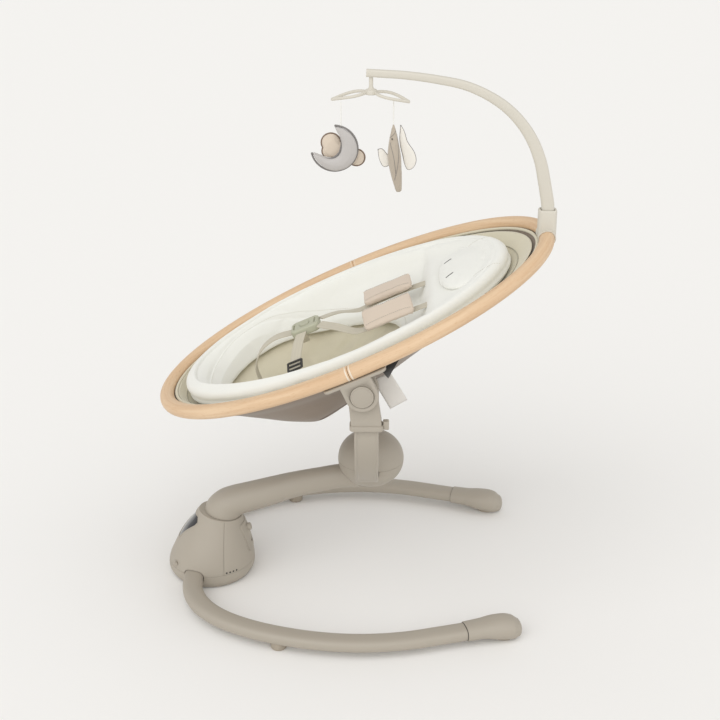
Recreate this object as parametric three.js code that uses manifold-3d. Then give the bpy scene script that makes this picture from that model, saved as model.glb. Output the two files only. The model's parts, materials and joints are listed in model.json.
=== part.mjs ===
// Electric baby swing: a horseshoe base with a motor housing, one tilted swing arm, a yoke that carries a
// reclining bucket seat with a wood-look rim, and a toy bar with a turning mobile.
// Millimetres, +Z up. The seat's foot end is towards -X, its head end towards +X,
// the child's left towards -Y.

import * as THREE from 'three';
import { mergeVertices } from 'three/addons/utils/BufferGeometryUtils.js';
import Module from 'manifold-3d';

// ---- Driving dimensions -------------------------------------------------------------------------------

const GAP = 0.4;                 // between two pieces that touch
const RUNNING = 1.0;             // between two pieces that move past each other

// Base
const BASE_HALF_WIDTH = 275;     // centre line of a leg at its widest
const LEG_WIDTH = 36;
const LEG_HEIGHT = 24;
const LEG_Z = 24;                // centre line above the floor
const LEG_END_X = 206;           // where a leg tube ends, inside its boot
const BOOT_LENGTH = 101;         // from its open end, which the leg tube enters, to its tip
const BOOT_SOCKET = 20;          // how far a leg tube reaches into its boot
const MID_FOOT_X = -137;
const MID_FOOT_RADIUS = 14;
const PAD_SIZE = [17, 12];       // half length and half width of the rubber pad in a boot
const PAD_DEPTH = 8;
const PAD_SLOPE = 0.92;          // how far the pad follows the leg's turn inwards

// Motor housing
const HOUSING_X = -281;
const HOUSING_RADIUS = 81;
const HOUSING_BOTTOM = 3;
const HOUSING_WALL = 3;
const TRAY_TOP = 27;
const SEAM_X = -250;             // plane where the two housing shells meet
const SWING_TILT = 10.5;         // degrees that the swing axle leans towards the seat
const COLLAR = [-255.8, 121.2];  // x and z where the axle crosses the collar seam
const COLLAR_RADIUS = 33;
const AXLE_RADIUS = 8;

// Swing arm and hub
const ARM_END_RADIUS = 21.5;
const HUB_CENTRE = [20, 237];
const HUB_RADII = [60, 59, 51];
const HUB_WALL = 3.5;

// Yoke and seat posts
const YOKE_WIDTH = 40;
const YOKE_THICKNESS = 14;
const YOKE_X = 14;
const POST_WALL = 4;
const POST_BOTTOM = 414;
const POST_SOCKET = 38;          // how far a yoke tip reaches into its post

// Seat, in its own frame: origin on the recline axis, x towards the head, z out of the seat
const RECLINE_AXIS = [7, 481];
const SEAT_TILT = 24.24;
const RIM_HALF_LENGTH = 362;
const RIM_HALF_WIDTH = 243;
const RIM_WIDTH = 26;
const RIM_HEIGHT = 24;
const RIM_X = -3;
const RIM_Z = 43;
const SHELL_WALL = 4;
const CUSHION_THICKNESS = 14;
const CUSHION_BACK = [118, 148];  // where the stuffed back starts to rise and where it is level
const CUSHION_BACK_DEPTH = 5;    // its level, below the rim's centre line
const HEAD_PAD_THICKNESS = 15;
const WELL = [156, 102];         // half length and half width of the opening in the cushion
const WELL_X = -88;              // its middle, from the cushion's middle
const SHOULDER_PAD = [46, 23, 52]; // half length, half width, distance from the middle
const SHOULDER_LEAN = [30, 9];   // degrees, left and right
const CHEEK = 12;                // outer cheek of a hinge cover
const INNER_CHEEK = 8;
const RECLINE_BUTTON_RADIUS = 19;
const RECLINE_PIN_RADIUS = 7;
const BUCKLE_KEY_RADIUS = 9;

// Toy bar and mobile
const SOCKET_DEPTH = 28;
const ARCH_BASE = [22, 16];      // thickness and depth at the socket
const ARCH_TIP = [12.5, 12];
const MOBILE_X = 18;
const MOBILE_Z = 912;
const LEAF_LENGTH = 68;
const LEAF_WIDTH = 40;
const LEAF_BAR = 5;
const LEAF_DROOP = 14;           // how far a leaf's tip hangs below the mobile's middle
const STRING_RADIUS = 0.9;

// ---- Solids --------------------------------------------------------------------------------------------

const wasm = await Module();
wasm.setup();

const vec = (x, y, z) => new THREE.Vector3(x, y, z);
const radians = THREE.MathUtils.degToRad;

// A manifold solid from a closed geometry; inside-out faces are turned.
function solid(geometry) {
  const bare = new THREE.BufferGeometry();
  bare.setAttribute('position', geometry.attributes.position);
  bare.setIndex(geometry.index);
  const merged = mergeVertices(bare, 1e-3);
  const make = (triVerts) => new wasm.Manifold(new wasm.Mesh({
    numProp: 3,
    vertProperties: new Float32Array(merged.attributes.position.array),
    triVerts: new Uint32Array(triVerts),
  }));
  const body = make(merged.index.array);
  return body.volume() > 0 ? body : make([...merged.index.array].reverse());
}

function geometryOf(body) {
  const mesh = body.getMesh();
  const geometry = new THREE.BufferGeometry();
  geometry.setAttribute('position', new THREE.BufferAttribute(new Float32Array(mesh.vertProperties), 3));
  geometry.setIndex(new THREE.BufferAttribute(new Uint32Array(mesh.triVerts), 1));
  return geometry;
}

const join = (...bodies) => bodies.reduce((a, b) => a.add(b));
const cut = (body, ...tools) => tools.reduce((a, b) => a.subtract(b), body);
const common = (a, b) => a.intersect(b);
const mirrored = (body) => body.mirror([0, 1, 0]);

function block([x0, x1], [y0, y1], [z0, z1]) {
  const box = new THREE.BoxGeometry(x1 - x0, y1 - y0, z1 - z0);
  return solid(box.translate((x0 + x1) / 2, (y0 + y1) / 2, (z0 + z1) / 2));
}

// A cylinder from one point to another.
function rod(from, to, radius, sides = 16, endRadius = radius) {
  const along = to.clone().sub(from);
  const geometry = new THREE.CylinderGeometry(endRadius, radius, along.length(), sides);
  geometry.translate(0, along.length() / 2, 0);
  geometry.applyQuaternion(new THREE.Quaternion().setFromUnitVectors(vec(0, 1, 0), along.normalize()));
  return solid(geometry.translate(from.x, from.y, from.z));
}

// A closed body whose cross-sections are ovals. ringAt(t) gives the centre and the two half axes at t = 0..1;
// squareness 1 is an ellipse and smaller values fill its corners.
function loft(ringAt, rings, sides, squareness = 1) {
  const geometry = new THREE.CylinderGeometry(1, 1, 1, sides, rings);
  const position = geometry.attributes.position;
  const corner = (value) => Math.sign(value) * Math.abs(value) ** squareness;
  for (let i = 0; i < position.count; i += 1) {
    const { centre, across, up } = ringAt(Math.min(1, Math.max(0, position.getY(i) + 0.5)));
    const point = centre.clone();
    point.addScaledVector(across, corner(position.getX(i)));
    point.addScaledVector(up, corner(position.getZ(i)));
    position.setXYZ(i, point.x, point.y, point.z);
  }
  return solid(geometry);
}

// A loft between two outlines in the XZ plane; each rung joins them and has a half width in Y.
function rungLoft(rungs, rings, sides, grow = 0, squareness = 1) {
  const left = new THREE.CatmullRomCurve3(rungs.map(({ left: [x, z] }) => vec(x, 0, z)));
  const right = new THREE.CatmullRomCurve3(rungs.map(({ right: [x, z] }) => vec(x, 0, z)));
  const half = new THREE.CatmullRomCurve3(rungs.map((rung, i) => vec(rung.half, i, 0)));
  return loft((t) => {
    const start = left.getPoint(t);
    const centre = start.clone().add(right.getPoint(t)).multiplyScalar(0.5);
    const across = start.sub(centre);
    across.setLength(across.length() + grow);
    return { centre, across, up: vec(0, half.getPoint(t).x + grow, 0) };
  }, rings, sides, squareness);
}

// A loft along a path. sideways is square to the path's plane; sizeAt(t) gives the half size along sideways
// and the half size in the plane.
function pathLoft(points, sideways, sizeAt, rings, sides, squareness = 1) {
  const path = new THREE.CatmullRomCurve3(points);
  return loft((t) => {
    const along = path.getTangent(t);
    along.addScaledVector(sideways, -along.dot(sideways)).normalize();
    const [halfSide, halfPlane] = sizeAt(t);
    const up = along.cross(sideways).multiplyScalar(halfPlane);
    return { centre: path.getPoint(t), across: sideways.clone().multiplyScalar(halfSide), up };
  }, rings, sides, squareness);
}

// An oval plate with its flat faces across Z.
function ovalPlate(x, y, halfX, halfY, z0, z1, sides = 28) {
  const geometry = new THREE.CylinderGeometry(1, 1, 1, sides).rotateX(Math.PI / 2);
  return solid(geometry.scale(halfX, halfY, z1 - z0).translate(x, y, (z0 + z1) / 2));
}

// A slab with rounded corners, extruded in Z.
function roundedSlab(halfX, halfY, radius, z0, z1) {
  const shape = new THREE.Shape();
  shape.absarc(halfX - radius, halfY - radius, radius, 0, Math.PI / 2);
  shape.absarc(radius - halfX, halfY - radius, radius, Math.PI / 2, Math.PI);
  shape.absarc(radius - halfX, radius - halfY, radius, Math.PI, Math.PI * 1.5);
  shape.absarc(halfX - radius, radius - halfY, radius, Math.PI * 1.5, Math.PI * 2);
  shape.closePath();
  const options = { depth: z1 - z0, bevelEnabled: false, curveSegments: 3 };
  return solid(new THREE.ExtrudeGeometry(shape, options).translate(0, 0, z0));
}

// ---- Materials and parts -------------------------------------------------------------------------------

const finish = (color, roughness, metalness = 0) => (
  new THREE.MeshStandardMaterial({ color, roughness, metalness }));
const FRAME_PLASTIC = finish('#aea493', 0.5);
const LIGHT_PLASTIC = finish('#dad8cc', 0.5);
const BLACK_GLOSS = finish('#16151a', 0.12);
const DARK_PLASTIC = finish('#3a3936', 0.6);
const RUBBER = finish('#6f6a62', 0.9);
const STEEL = finish('#9b9c9e', 0.35, 1);
const COPPER = finish('#a8622f', 0.4, 1);
const BOARD = finish('#2f5a3b', 0.6);
const WOOD_LOOK = finish('#dcb98f', 0.55);
const SHELL_FABRIC = finish('#8e8178', 0.95);
const LINER_FABRIC = finish('#c9c7b6', 0.95);
const CUSHION_FABRIC = finish('#ececE8', 0.95);
const PAD_FABRIC = finish('#ddd2c6', 0.95);
const WEBBING = finish('#c9c4b6', 0.9);
const BUCKLE_PLASTIC = finish('#b5b49f', 0.45);
const MOON_FABRIC = finish('#bdbbb8', 0.95);
const CLOUD_FABRIC = finish('#d8ccb8', 0.95);
const BIRD_FABRIC = finish('#cfc8bd', 0.95);
const STRING = finish('#efeee8', 0.9);
const LABEL = finish('#f1efec', 0.8);

const object = new THREE.Group();
const seat = new THREE.Group();
seat.position.set(RECLINE_AXIS[0], 0, RECLINE_AXIS[1]);
seat.rotation.y = -radians(SEAT_TILT);
object.add(seat);

function addPart(name, body, material, parent = object) {
  const mesh = new THREE.Mesh(geometryOf(body), material);
  mesh.name = name;
  parent.add(mesh);
}

function addPair(name, body, material, parent = object) {
  addPart(`left_${name}`, body, material, parent);
  addPart(`right_${name}`, mirrored(body), material, parent);
}

// Where a point in the seat's frame is in the object's frame.
function seatPoint(x, z) {
  const tilt = radians(SEAT_TILT);
  return [
    RECLINE_AXIS[0] + x * Math.cos(tilt) - z * Math.sin(tilt),
    RECLINE_AXIS[1] + x * Math.sin(tilt) + z * Math.cos(tilt),
  ];
}

// ---- Base: legs, boots and feet ------------------------------------------------------------------------

// Centre line of the left leg as x and share of the half width, from inside the housing to the boot.
const LEG_LINE = [
  [HOUSING_X - 21, 0.145], [HOUSING_X - 25, 0.29], [HOUSING_X - 20, 0.45], [HOUSING_X, 0.605],
  [-245, 0.74], [-196, 0.845], [-137, 0.925], [-62, 0.985], [10, 1], [80, 0.972], [150, 0.905],
  [LEG_END_X, 0.845],
];
const legPoints = LEG_LINE.map(([x, share]) => vec(x, -share * BASE_HALF_WIDTH, LEG_Z));

class LegPath extends THREE.CatmullRomCurve3 {
  constructor() {
    super(legPoints);
  }
}

// An ellipse with filled corners, as an outline for an extrusion.
function ovalShape(halfX, halfY, squareness, count) {
  const corner = (value) => Math.sign(value) * Math.abs(value) ** squareness;
  const points = [];
  for (let i = 0; i < count; i += 1) {
    const angle = (i / count) * Math.PI * 2;
    points.push(new THREE.Vector2(halfX * corner(Math.cos(angle)), halfY * corner(Math.sin(angle))));
  }
  return new THREE.Shape(points);
}

function legTube(grow = 0) {
  const section = ovalShape(LEG_HEIGHT / 2 + grow, LEG_WIDTH / 2 + grow, 0.85, 10);
  const options = { steps: 22, extrudePath: new LegPath(), curveSegments: 4 };
  return solid(new THREE.ExtrudeGeometry(section, options));
}

// The boot carries on from the leg, swells, and comes down to the floor.
function bootBody() {
  const start = legPoints[legPoints.length - 2];
  const end = legPoints[legPoints.length - 1];
  const y = end.y;
  const x = LEG_END_X - BOOT_SOCKET;
  const inwards = (end.y - start.y) / (end.x - start.x);
  const line = [
    [0, y - BOOT_SOCKET * inwards, 24], [0.3, y + 10 * inwards, 24.3], [0.55, y + 34 * inwards, 23.4],
    [0.78, y + 52 * inwards, 22.5], [0.93, y + 61 * inwards, 20.5], [1, y + 64 * inwards, 18],
  ];
  const sizes = [[14.6, 20.5], [15.6, 21.5], [19.6, 24.5], [18.6, 23], [12.5, 15.5], [5, 6]];
  const size = new THREE.CatmullRomCurve3(sizes.map(([height, width], i) => vec(height, width, i)));
  const points = line.map(([share, py, pz]) => vec(x + share * BOOT_LENGTH, py, pz));
  const up = vec(0, 0, 1);
  return pathLoft(points, up, (t) => [size.getPoint(t).x, size.getPoint(t).y], 8, 12, 0.9);
}

function buildLegs() {
  const leg = legTube();
  const grownLeg = legTube(GAP);
  const boot = bootBody();
  const padX = LEG_END_X - BOOT_SOCKET + BOOT_LENGTH * 0.68;
  const [before, last] = legPoints.slice(-2);
  const padY = last.y + (padX - LEG_END_X) * PAD_SLOPE * ((last.y - before.y) / (last.x - before.x));
  const sole = block([0, 400], [-500, 0], [-20, 3]);
  const pad = ovalPlate(padX, padY, PAD_SIZE[0], PAD_SIZE[1], 0, PAD_DEPTH);
  const padPocket = ovalPlate(padX, padY, PAD_SIZE[0] + GAP, PAD_SIZE[1] + GAP, -1, PAD_DEPTH + GAP);
  addPair('leg_tube', leg, FRAME_PLASTIC);
  addPair('foot_boot', cut(boot, grownLeg, sole, padPocket), FRAME_PLASTIC);
  addPair('foot_pad', pad, RUBBER);

  const fromFoot = (point) => Math.abs(point.x - MID_FOOT_X);
  const footAt = legPoints.reduce((a, b) => (fromFoot(b) < fromFoot(a) ? b : a));
  const foot = rod(vec(MID_FOOT_X, footAt.y, 0), vec(MID_FOOT_X, footAt.y, LEG_Z), MID_FOOT_RADIUS, 20,
    MID_FOOT_RADIUS + 1);
  addPair('mid_foot', cut(foot, grownLeg), RUBBER);
  return grownLeg;
}

// ---- Base: motor housing -------------------------------------------------------------------------------

const tiltCos = Math.cos(radians(SWING_TILT));
const tiltSin = Math.sin(radians(SWING_TILT));

// A point on the swing axle, a distance above (or below) the collar seam.
const onAxle = (distance) => vec(COLLAR[0] + distance * tiltSin, 0, COLLAR[1] + distance * tiltCos);

// Half-space above a plane square to the axle.
function aboveAxlePlane(distance) {
  const slab = new THREE.BoxGeometry(400, 400, 400).translate(0, 0, 200);
  slab.rotateY(radians(SWING_TILT));
  const at = onAxle(distance);
  return solid(slab.translate(at.x, at.y, at.z));
}

// The bell of the housing; grow moves its wall in or out.
function housingBody(grow = 0) {
  const x = HOUSING_X;
  const r = HOUSING_RADIUS;
  const collarLeft = COLLAR[0] - COLLAR_RADIUS;
  const collarRight = COLLAR[0] + COLLAR_RADIUS;
  return rungLoft([
    { left: [x - r * 0.9, HOUSING_BOTTOM], right: [x + r * 0.92, HOUSING_BOTTOM], half: r * 0.94 },
    { left: [x - r * 0.98, 14], right: [x + r * 0.99, 13], half: r },
    { left: [x - r * 0.97, 28], right: [x + r, 25], half: r },
    { left: [x - r * 0.88, 46], right: [x + r * 0.98, 42], half: r * 0.95 },
    { left: [x - r * 0.76, 66], right: [x + r * 0.93, 62], half: r * 0.86 },
    { left: [collarLeft - 41, 88], right: [collarRight + 12, 84], half: r * 0.73 },
    { left: [collarLeft - 25, 109], right: [collarRight + 6, 102], half: COLLAR_RADIUS + 14 },
    { left: [collarLeft - 11, 129], right: [collarRight + 1.5, 116], half: COLLAR_RADIUS + 4 },
    { left: [collarLeft - 6, 137], right: [collarRight + 0.5, 124], half: COLLAR_RADIUS + 2 },
  ], 9, 20, grow);
}

function buildHousing(grownLeg) {
  const top = aboveAxlePlane(-GAP / 2);
  const outer = cut(housingBody(), top);
  const inner = cut(housingBody(-HOUSING_WALL), aboveAxlePlane(-HOUSING_WALL - 1));
  const legs = join(grownLeg, mirrored(grownLeg));
  const far = 500;
  const everywhere = [[-far, far], [-far, far]];
  const aboveTray = block(...everywhere, [TRAY_TOP, far]);
  const belowShell = block(...everywhere, [-far, TRAY_TOP + GAP]);

  // Bottom tray with the lower bearing's boss; the floor stays solid.
  const trayHollow = common(inner, block(...everywhere, [HOUSING_BOTTOM + HOUSING_WALL, far]));
  const bossTop = -(COLLAR[1] - 42);
  const bossBottom = -(COLLAR[1] - HOUSING_BOTTOM - 4);
  const boss = cut(rod(onAxle(bossBottom), onAxle(bossTop), 18), aboveAxlePlane(bossTop));
  const bore = rod(onAxle(bossTop - 22), onAxle(bossTop + 5), 12 + GAP);
  const tray = cut(join(cut(outer, aboveTray, trayHollow), boss), legs, bore);
  addPart('housing_bottom_tray', tray, FRAME_PLASTIC);

  // Two shells with the panel recess, the rear hatch, the button holes and the collar opening.
  const collarHole = rod(onAxle(-12), onAxle(10), 14 + GAP);
  const shells = cut(outer, belowShell, common(inner, block(...everywhere, [0, far])), legs, collarHole);
  const panelTool = panelSlab(0);
  const hatchTool = hatchSlab(GAP);
  const seam = block([SEAM_X - GAP / 2, far], [-far, far], [-far, far]);
  const seamFront = block([-far, SEAM_X + GAP / 2], [-far, far], [-far, far]);
  const buttonHole = rod(vec(HOUSING_X - 61, -far, 37), vec(HOUSING_X - 61, 0, 37), 4.2, 16);
  const buttonHoles = join(buttonHole, mirrored(buttonHole));
  addPart('housing_front_shell', cut(shells, seam, panelTool, buttonHoles), FRAME_PLASTIC);
  addPart('housing_rear_shell', cut(shells, seamFront, hatchTool), FRAME_PLASTIC);

  // Touch panel: a gloss plate let into the sloping front.
  const skin = cut(housingBody(-GAP / 4), housingBody(-HOUSING_WALL + GAP));
  addPart('control_panel', cut(common(skin, panelSlab(GAP)), top), BLACK_GLOSS);

  // Rear hatch with the power button's hole and the low-voltage inlet.
  const proud = cut(housingBody(1.2), housingBody(-HOUSING_WALL + GAP));
  const hatch = cut(common(proud, hatchSlab(0)), top);
  const knobAt = vec(COLLAR[0] + COLLAR_RADIUS + 12, 0, 88);
  const outwards = vec(0.96, 0, 0.26).normalize();
  const knobEnd = (distance) => knobAt.clone().addScaledVector(outwards, distance);
  const inletAt = vec(COLLAR[0] + COLLAR_RADIUS + 17, 0, 62);
  const inletEnd = (distance) => inletAt.clone().addScaledVector(outwards, distance);
  const knobHole = rod(knobEnd(-30), knobEnd(30), 7 + RUNNING / 2, 20);
  const inletHole = rod(inletEnd(-30), inletEnd(30), 5 + GAP, 20);
  addPart('rear_cover', cut(hatch, knobHole, inletHole), FRAME_PLASTIC);
  addPart('power_button', rod(knobEnd(-4), knobEnd(6.5), 7, 20), FRAME_PLASTIC);
  const jack = cut(rod(inletEnd(-14), inletEnd(1.5), 5, 20), rod(inletEnd(-9), inletEnd(5), 3, 16));
  addPart('dc_inlet', jack, DARK_PLASTIC);

  // Leg lock buttons beside the leg sockets.
  const wallY = -HOUSING_RADIUS * 0.61;
  const lock = rod(vec(HOUSING_X - 61, wallY - 3, 37), vec(HOUSING_X - 61, wallY + 9, 37), 3.4, 16);
  addPair('leg_button', lock, FRAME_PLASTIC);
}

// The slab of space that the panel takes on the front of the bell, seen from the front.
function panelSlab(inset) {
  const shape = new THREE.Shape();
  const width = 30 - inset;
  const foot = 13 - inset;
  shape.moveTo(-foot, inset);
  shape.quadraticCurveTo(0, inset - 9, foot, inset);
  shape.lineTo(width, 34);
  shape.lineTo(width, 48 - inset);
  shape.lineTo(-width, 48 - inset);
  shape.lineTo(-width, 34);
  shape.closePath();
  const options = { depth: 90, bevelEnabled: false, curveSegments: 6 };
  const geometry = new THREE.ExtrudeGeometry(shape, options);
  geometry.rotateX(Math.PI / 2).rotateZ(Math.PI / 2);
  return solid(geometry.translate(HOUSING_X - 110, 0, 73));
}

// The slab of space that the rear hatch takes.
function hatchSlab(grow) {
  return block([HOUSING_X + 40, 0], [-24 - grow, 24 + grow], [48 - grow, 103 + grow]);
}

function buildDrive() {
  // The bores' flats clear the axle's corners by 0.05 mm, so it turns freely.
  const boreRadius = (AXLE_RADIUS + 0.05) / Math.cos(Math.PI / 16);
  const bore = rod(onAxle(-105), onAxle(5), boreRadius, 16);
  const bushLow = cut(rod(onAxle(-100), onAxle(-79.5), 12), bore);
  const bushHigh = cut(rod(onAxle(-13), onAxle(-1), 14), bore);
  addPart('lower_bearing', bushLow, STEEL);
  addPart('upper_bearing', bushHigh, STEEL);
  addPart('swing_axle', rod(onAxle(-98), onAxle(34), AXLE_RADIUS), STEEL);

  // The lever turns with the axle and carries the magnet past the coil.
  const collar = rod(onAxle(-62), onAxle(-48), 14);
  const bar = block([COLLAR[0] - 12, COLLAR[0] + 34], [-9, 9], [COLLAR[1] - 58, COLLAR[1] - 50]);
  const axleHole = rod(onAxle(-80), onAxle(-30), AXLE_RADIUS + GAP);
  addPart('magnet_lever', cut(join(collar, bar), axleHole), DARK_PLASTIC);
  const coilAt = vec(COLLAR[0] + 22, 0, COLLAR[1] - 84);
  const coil = rod(coilAt, coilAt.clone().add(vec(0, 0, 20)), 14, 24);
  const core = rod(coilAt.clone().add(vec(0, 0, -1)), coilAt.clone().add(vec(0, 0, 21)), 5, 16);
  addPart('drive_coil', cut(coil, core), COPPER);

  const board = block([HOUSING_X - 38, HOUSING_X - 36.4], [-22, 22], [45, 80]);
  addPart('circuit_board', board, BOARD);
}

// ---- Swing arm, hub and yoke ---------------------------------------------------------------------------

function armBody(grow = 0) {
  const [cx, cz] = COLLAR;
  const r = COLLAR_RADIUS;
  const low = [cx + r * tiltCos, cz - r * tiltSin];
  const high = [cx - r * tiltCos, cz + r * tiltSin];
  const [hubX, hubZ] = HUB_CENTRE;
  const e = ARM_END_RADIUS;
  const endZ = hubZ - 38;
  return rungLoft([
    { left: [low[0], low[1] - 4], right: [high[0] - 1, high[1] - 4], half: r },
    { left: [low[0] + 1, low[1] + 1], right: [high[0] + 1, high[1] + 8], half: r },
    { left: [low[0] + 3, low[1] + 3], right: [high[0] + 9, high[1] + 21], half: r - 0.5 },
    { left: [low[0] + 6, low[1] + 5], right: [high[0] + 27, high[1] + 36], half: r - 1.5 },
    { left: [low[0] + 13, low[1] + 7.5], right: [high[0] + 50, high[1] + 45], half: r - 3 },
    { left: [low[0] + 27, low[1] + 12], right: [high[0] + 77, high[1] + 52.5], half: r - 5 },
    { left: [-156, 141], right: [-166, 192], half: e + 5 },
    { left: [-118, 155.5], right: [-128, 202], half: e + 2 },
    { left: [-70, endZ - 31], right: [-76, 213], half: e },
    { left: [hubX - 55, endZ - e - 1.5], right: [hubX - 59, endZ + e - 0.5], half: e },
    { left: [hubX - 22, endZ - e], right: [hubX - 24, endZ + e + 1], half: e },
  ], 13, 14, grow);
}

function yokePoints() {
  const top = RIM_HALF_WIDTH - RIM_WIDTH / 2 + 1;
  const [, hubZ] = HUB_CENTRE;
  const rise = POST_BOTTOM - hubZ;
  return [
    [0.08, hubZ - 9], [0.3, hubZ], [0.57, hubZ + rise * 0.17], [0.82, hubZ + rise * 0.44],
    [0.955, hubZ + rise * 0.7], [1, POST_BOTTOM - 22], [1, POST_BOTTOM], [1, POST_BOTTOM + POST_SOCKET],
  ].map(([share, z]) => vec(YOKE_X, -top * share, z));
}

function yokeArm(grow = 0) {
  const size = [YOKE_WIDTH / 2 + grow, YOKE_THICKNESS / 2 + grow];
  return pathLoft(yokePoints(), vec(1, 0, 0), () => size, 12, 12, 0.5);
}

function buildArm() {
  const belowSeam = cut(aboveAxlePlane(-60), aboveAxlePlane(GAP / 2));
  const axleBore = rod(onAxle(-10), onAxle(35), AXLE_RADIUS + GAP);
  addPart('swing_arm_tube', cut(armBody(), belowSeam, axleBore), FRAME_PLASTIC);

  const [hubX, hubZ] = HUB_CENTRE;
  const [rx, ry, rz] = HUB_RADII;
  const ball = (shrink) => {
    const sphere = new THREE.SphereGeometry(1, 20, 10).rotateX(Math.PI / 2);
    return solid(sphere.scale(rx - shrink, ry - shrink, rz - shrink).translate(hubX, 0, hubZ));
  };
  const yoke = yokeArm();
  const tools = [ball(HUB_WALL), armBody(GAP), yokeArm(GAP), mirrored(yokeArm(GAP))];
  const shells = cut(ball(0), ...tools);
  const far = 200;
  const across = [[hubX - far, hubX + far], [-far, far]];
  addPart('hub_upper_shell', cut(shells, block(...across, [hubZ - far, hubZ + GAP / 2])), FRAME_PLASTIC);
  addPart('hub_lower_shell', cut(shells, block(...across, [hubZ - GAP / 2, hubZ + far])), FRAME_PLASTIC);
  addPair('yoke_arm', yoke, FRAME_PLASTIC);
}

// ---- Seat posts ----------------------------------------------------------------------------------------

const postY = () => -(RIM_HALF_WIDTH - RIM_WIDTH / 2 + 1);
const postHalf = () => [YOKE_WIDTH / 2 + GAP + POST_WALL, YOKE_THICKNESS / 2 + GAP + POST_WALL - 1];

function buildPosts() {
  const y = postY();
  const [halfX, halfY] = postHalf();
  const [pivotX, pivotZ] = RECLINE_AXIS;
  const disc = rod(vec(pivotX, y - halfY, pivotZ), vec(pivotX, y + halfY, pivotZ), halfX - 1, 20);
  const sideX = [YOKE_X - halfX, YOKE_X + halfX];
  const stem = block(sideX, [y - halfY, y + halfY], [POST_BOTTOM, POST_BOTTOM + 14]);
  const body = join(disc, stem).hull();
  const lip = roundedSlab(halfX + 3, halfY + 3, 6, POST_BOTTOM, POST_BOTTOM + 9).translate([YOKE_X, y, 0]);
  const socketTop = POST_BOTTOM + POST_SOCKET + RUNNING;
  const socket = common(yokeArmSocket(), block([-100, 100], [2 * y, 0], [POST_BOTTOM - 5, socketTop]));
  const pinHole = rod(vec(pivotX, y - 50, pivotZ), vec(pivotX, y + 50, pivotZ), RECLINE_PIN_RADIUS + RUNNING);
  const buttonFace = YOKE_X + halfX + 3;
  const pocketZ = [POST_BOTTOM - 1, POST_BOTTOM + 16];
  const pocket = block([buttonFace - 3.9, buttonFace + 9], [y - 6.5, y + 6.5], pocketZ);
  addPair('seat_post', cut(join(body, lip), socket, pinHole, pocket), FRAME_PLASTIC);
  const release = roundedSlab(4.8, 6, 2, POST_BOTTOM, POST_BOTTOM + 15.3);
  addPair('release_button', release.translate([buttonFace + 4.4, y, 0]), FRAME_PLASTIC);
}

// The straight socket that a yoke tip slides into.
function yokeArmSocket() {
  const y = postY();
  const geometry = new THREE.CylinderGeometry(1, 1, 80, 12).rotateX(Math.PI / 2);
  const corner = (value) => Math.sign(value) * Math.abs(value) ** 0.5;
  const position = geometry.attributes.position;
  for (let i = 0; i < position.count; i += 1) {
    const px = corner(position.getX(i)) * (YOKE_WIDTH / 2 + GAP);
    const py = corner(position.getY(i)) * (YOKE_THICKNESS / 2 + GAP);
    position.setXYZ(i, px + YOKE_X, py + y, position.getZ(i) + POST_BOTTOM + 20);
  }
  return solid(geometry);
}

// ---- Seat: rim, hinge covers, shell, liner and cushions ------------------------------------------------

class RimArc extends THREE.Curve {
  constructor(side) {
    super();
    this.side = side;
  }

  // Half an oval from one seam to the other; side +1 is the head half and -1 the foot half.
  getPoint(t) {
    const angle = -Math.PI / 2 + Math.PI * t;
    const start = this.side * 0.15;
    const x = RIM_X + this.side * RIM_HALF_LENGTH * Math.cos(angle) + start;
    return vec(x, RIM_HALF_WIDTH * Math.sin(angle), RIM_Z);
  }
}

function rimHalf(side, grow = 0) {
  const section = ovalShape(RIM_HEIGHT / 2 + grow, RIM_WIDTH / 2 + grow, 0.92, 10);
  const body = solid(new THREE.ExtrudeGeometry(section, { steps: 20, extrudePath: new RimArc(side) }));
  const far = 900;
  const beyond = side > 0 ? [-far, RIM_X + GAP / 2] : [RIM_X - GAP / 2, far];
  return cut(body, block(beyond, [-far, far], [-far, far]));
}

// Outer outline of the seat shell from above the rim down: height over the shell's top edge, then the foot
// end, head end and half width as shares of the space inside the rim.
const innerHalfLength = RIM_HALF_LENGTH - RIM_WIDTH / 2 - 2;
const innerHalfWidth = RIM_HALF_WIDTH - RIM_WIDTH / 2 - 2;
const SHELL_TOP = RIM_Z - 1;
const SHELL_LEVELS = [
  [24, -1, 1.06, 1.03], [0, -1, 1, 1], [-27, -0.945, 0.83, 0.9], [-50, -0.825, 0.56, 0.78],
  [-75, -0.7, 0.3, 0.68], [-97, -0.59, 0.08, 0.59], [-114, -0.48, -0.12, 0.49], [-120, -0.42, -0.22, 0.41],
];

// The space inside the shell's outline, drawn in by inset and cut off flat at top.
function bowl(inset, top) {
  const rungs = SHELL_LEVELS.map(([depth, foot, head, half]) => ({
    left: [RIM_X + foot * innerHalfLength + inset, SHELL_TOP + depth + inset],
    right: [RIM_X + head * innerHalfLength - inset, SHELL_TOP + depth + inset],
    half: half * innerHalfWidth - inset,
  }));
  return cut(rungLoft(rungs, 8, 24), block([-900, 900], [-900, 900], [top, top + 200]));
}

// The stuffed back of the cushion, seen from the side: a ramp from the liner up to its level top.
function backOutline() {
  const [foot, head] = CUSHION_BACK;
  const top = RIM_Z - CUSHION_BACK_DEPTH;
  const under = SHELL_TOP - 140;
  const shape = new THREE.Shape();
  const slope = (head - foot) / (top + 60);
  shape.moveTo(head, top);
  shape.lineTo(RIM_HALF_LENGTH, top);
  shape.lineTo(RIM_HALF_LENGTH, under);
  shape.lineTo(head - slope * (top - under), under);
  shape.closePath();
  return shape;
}

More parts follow.
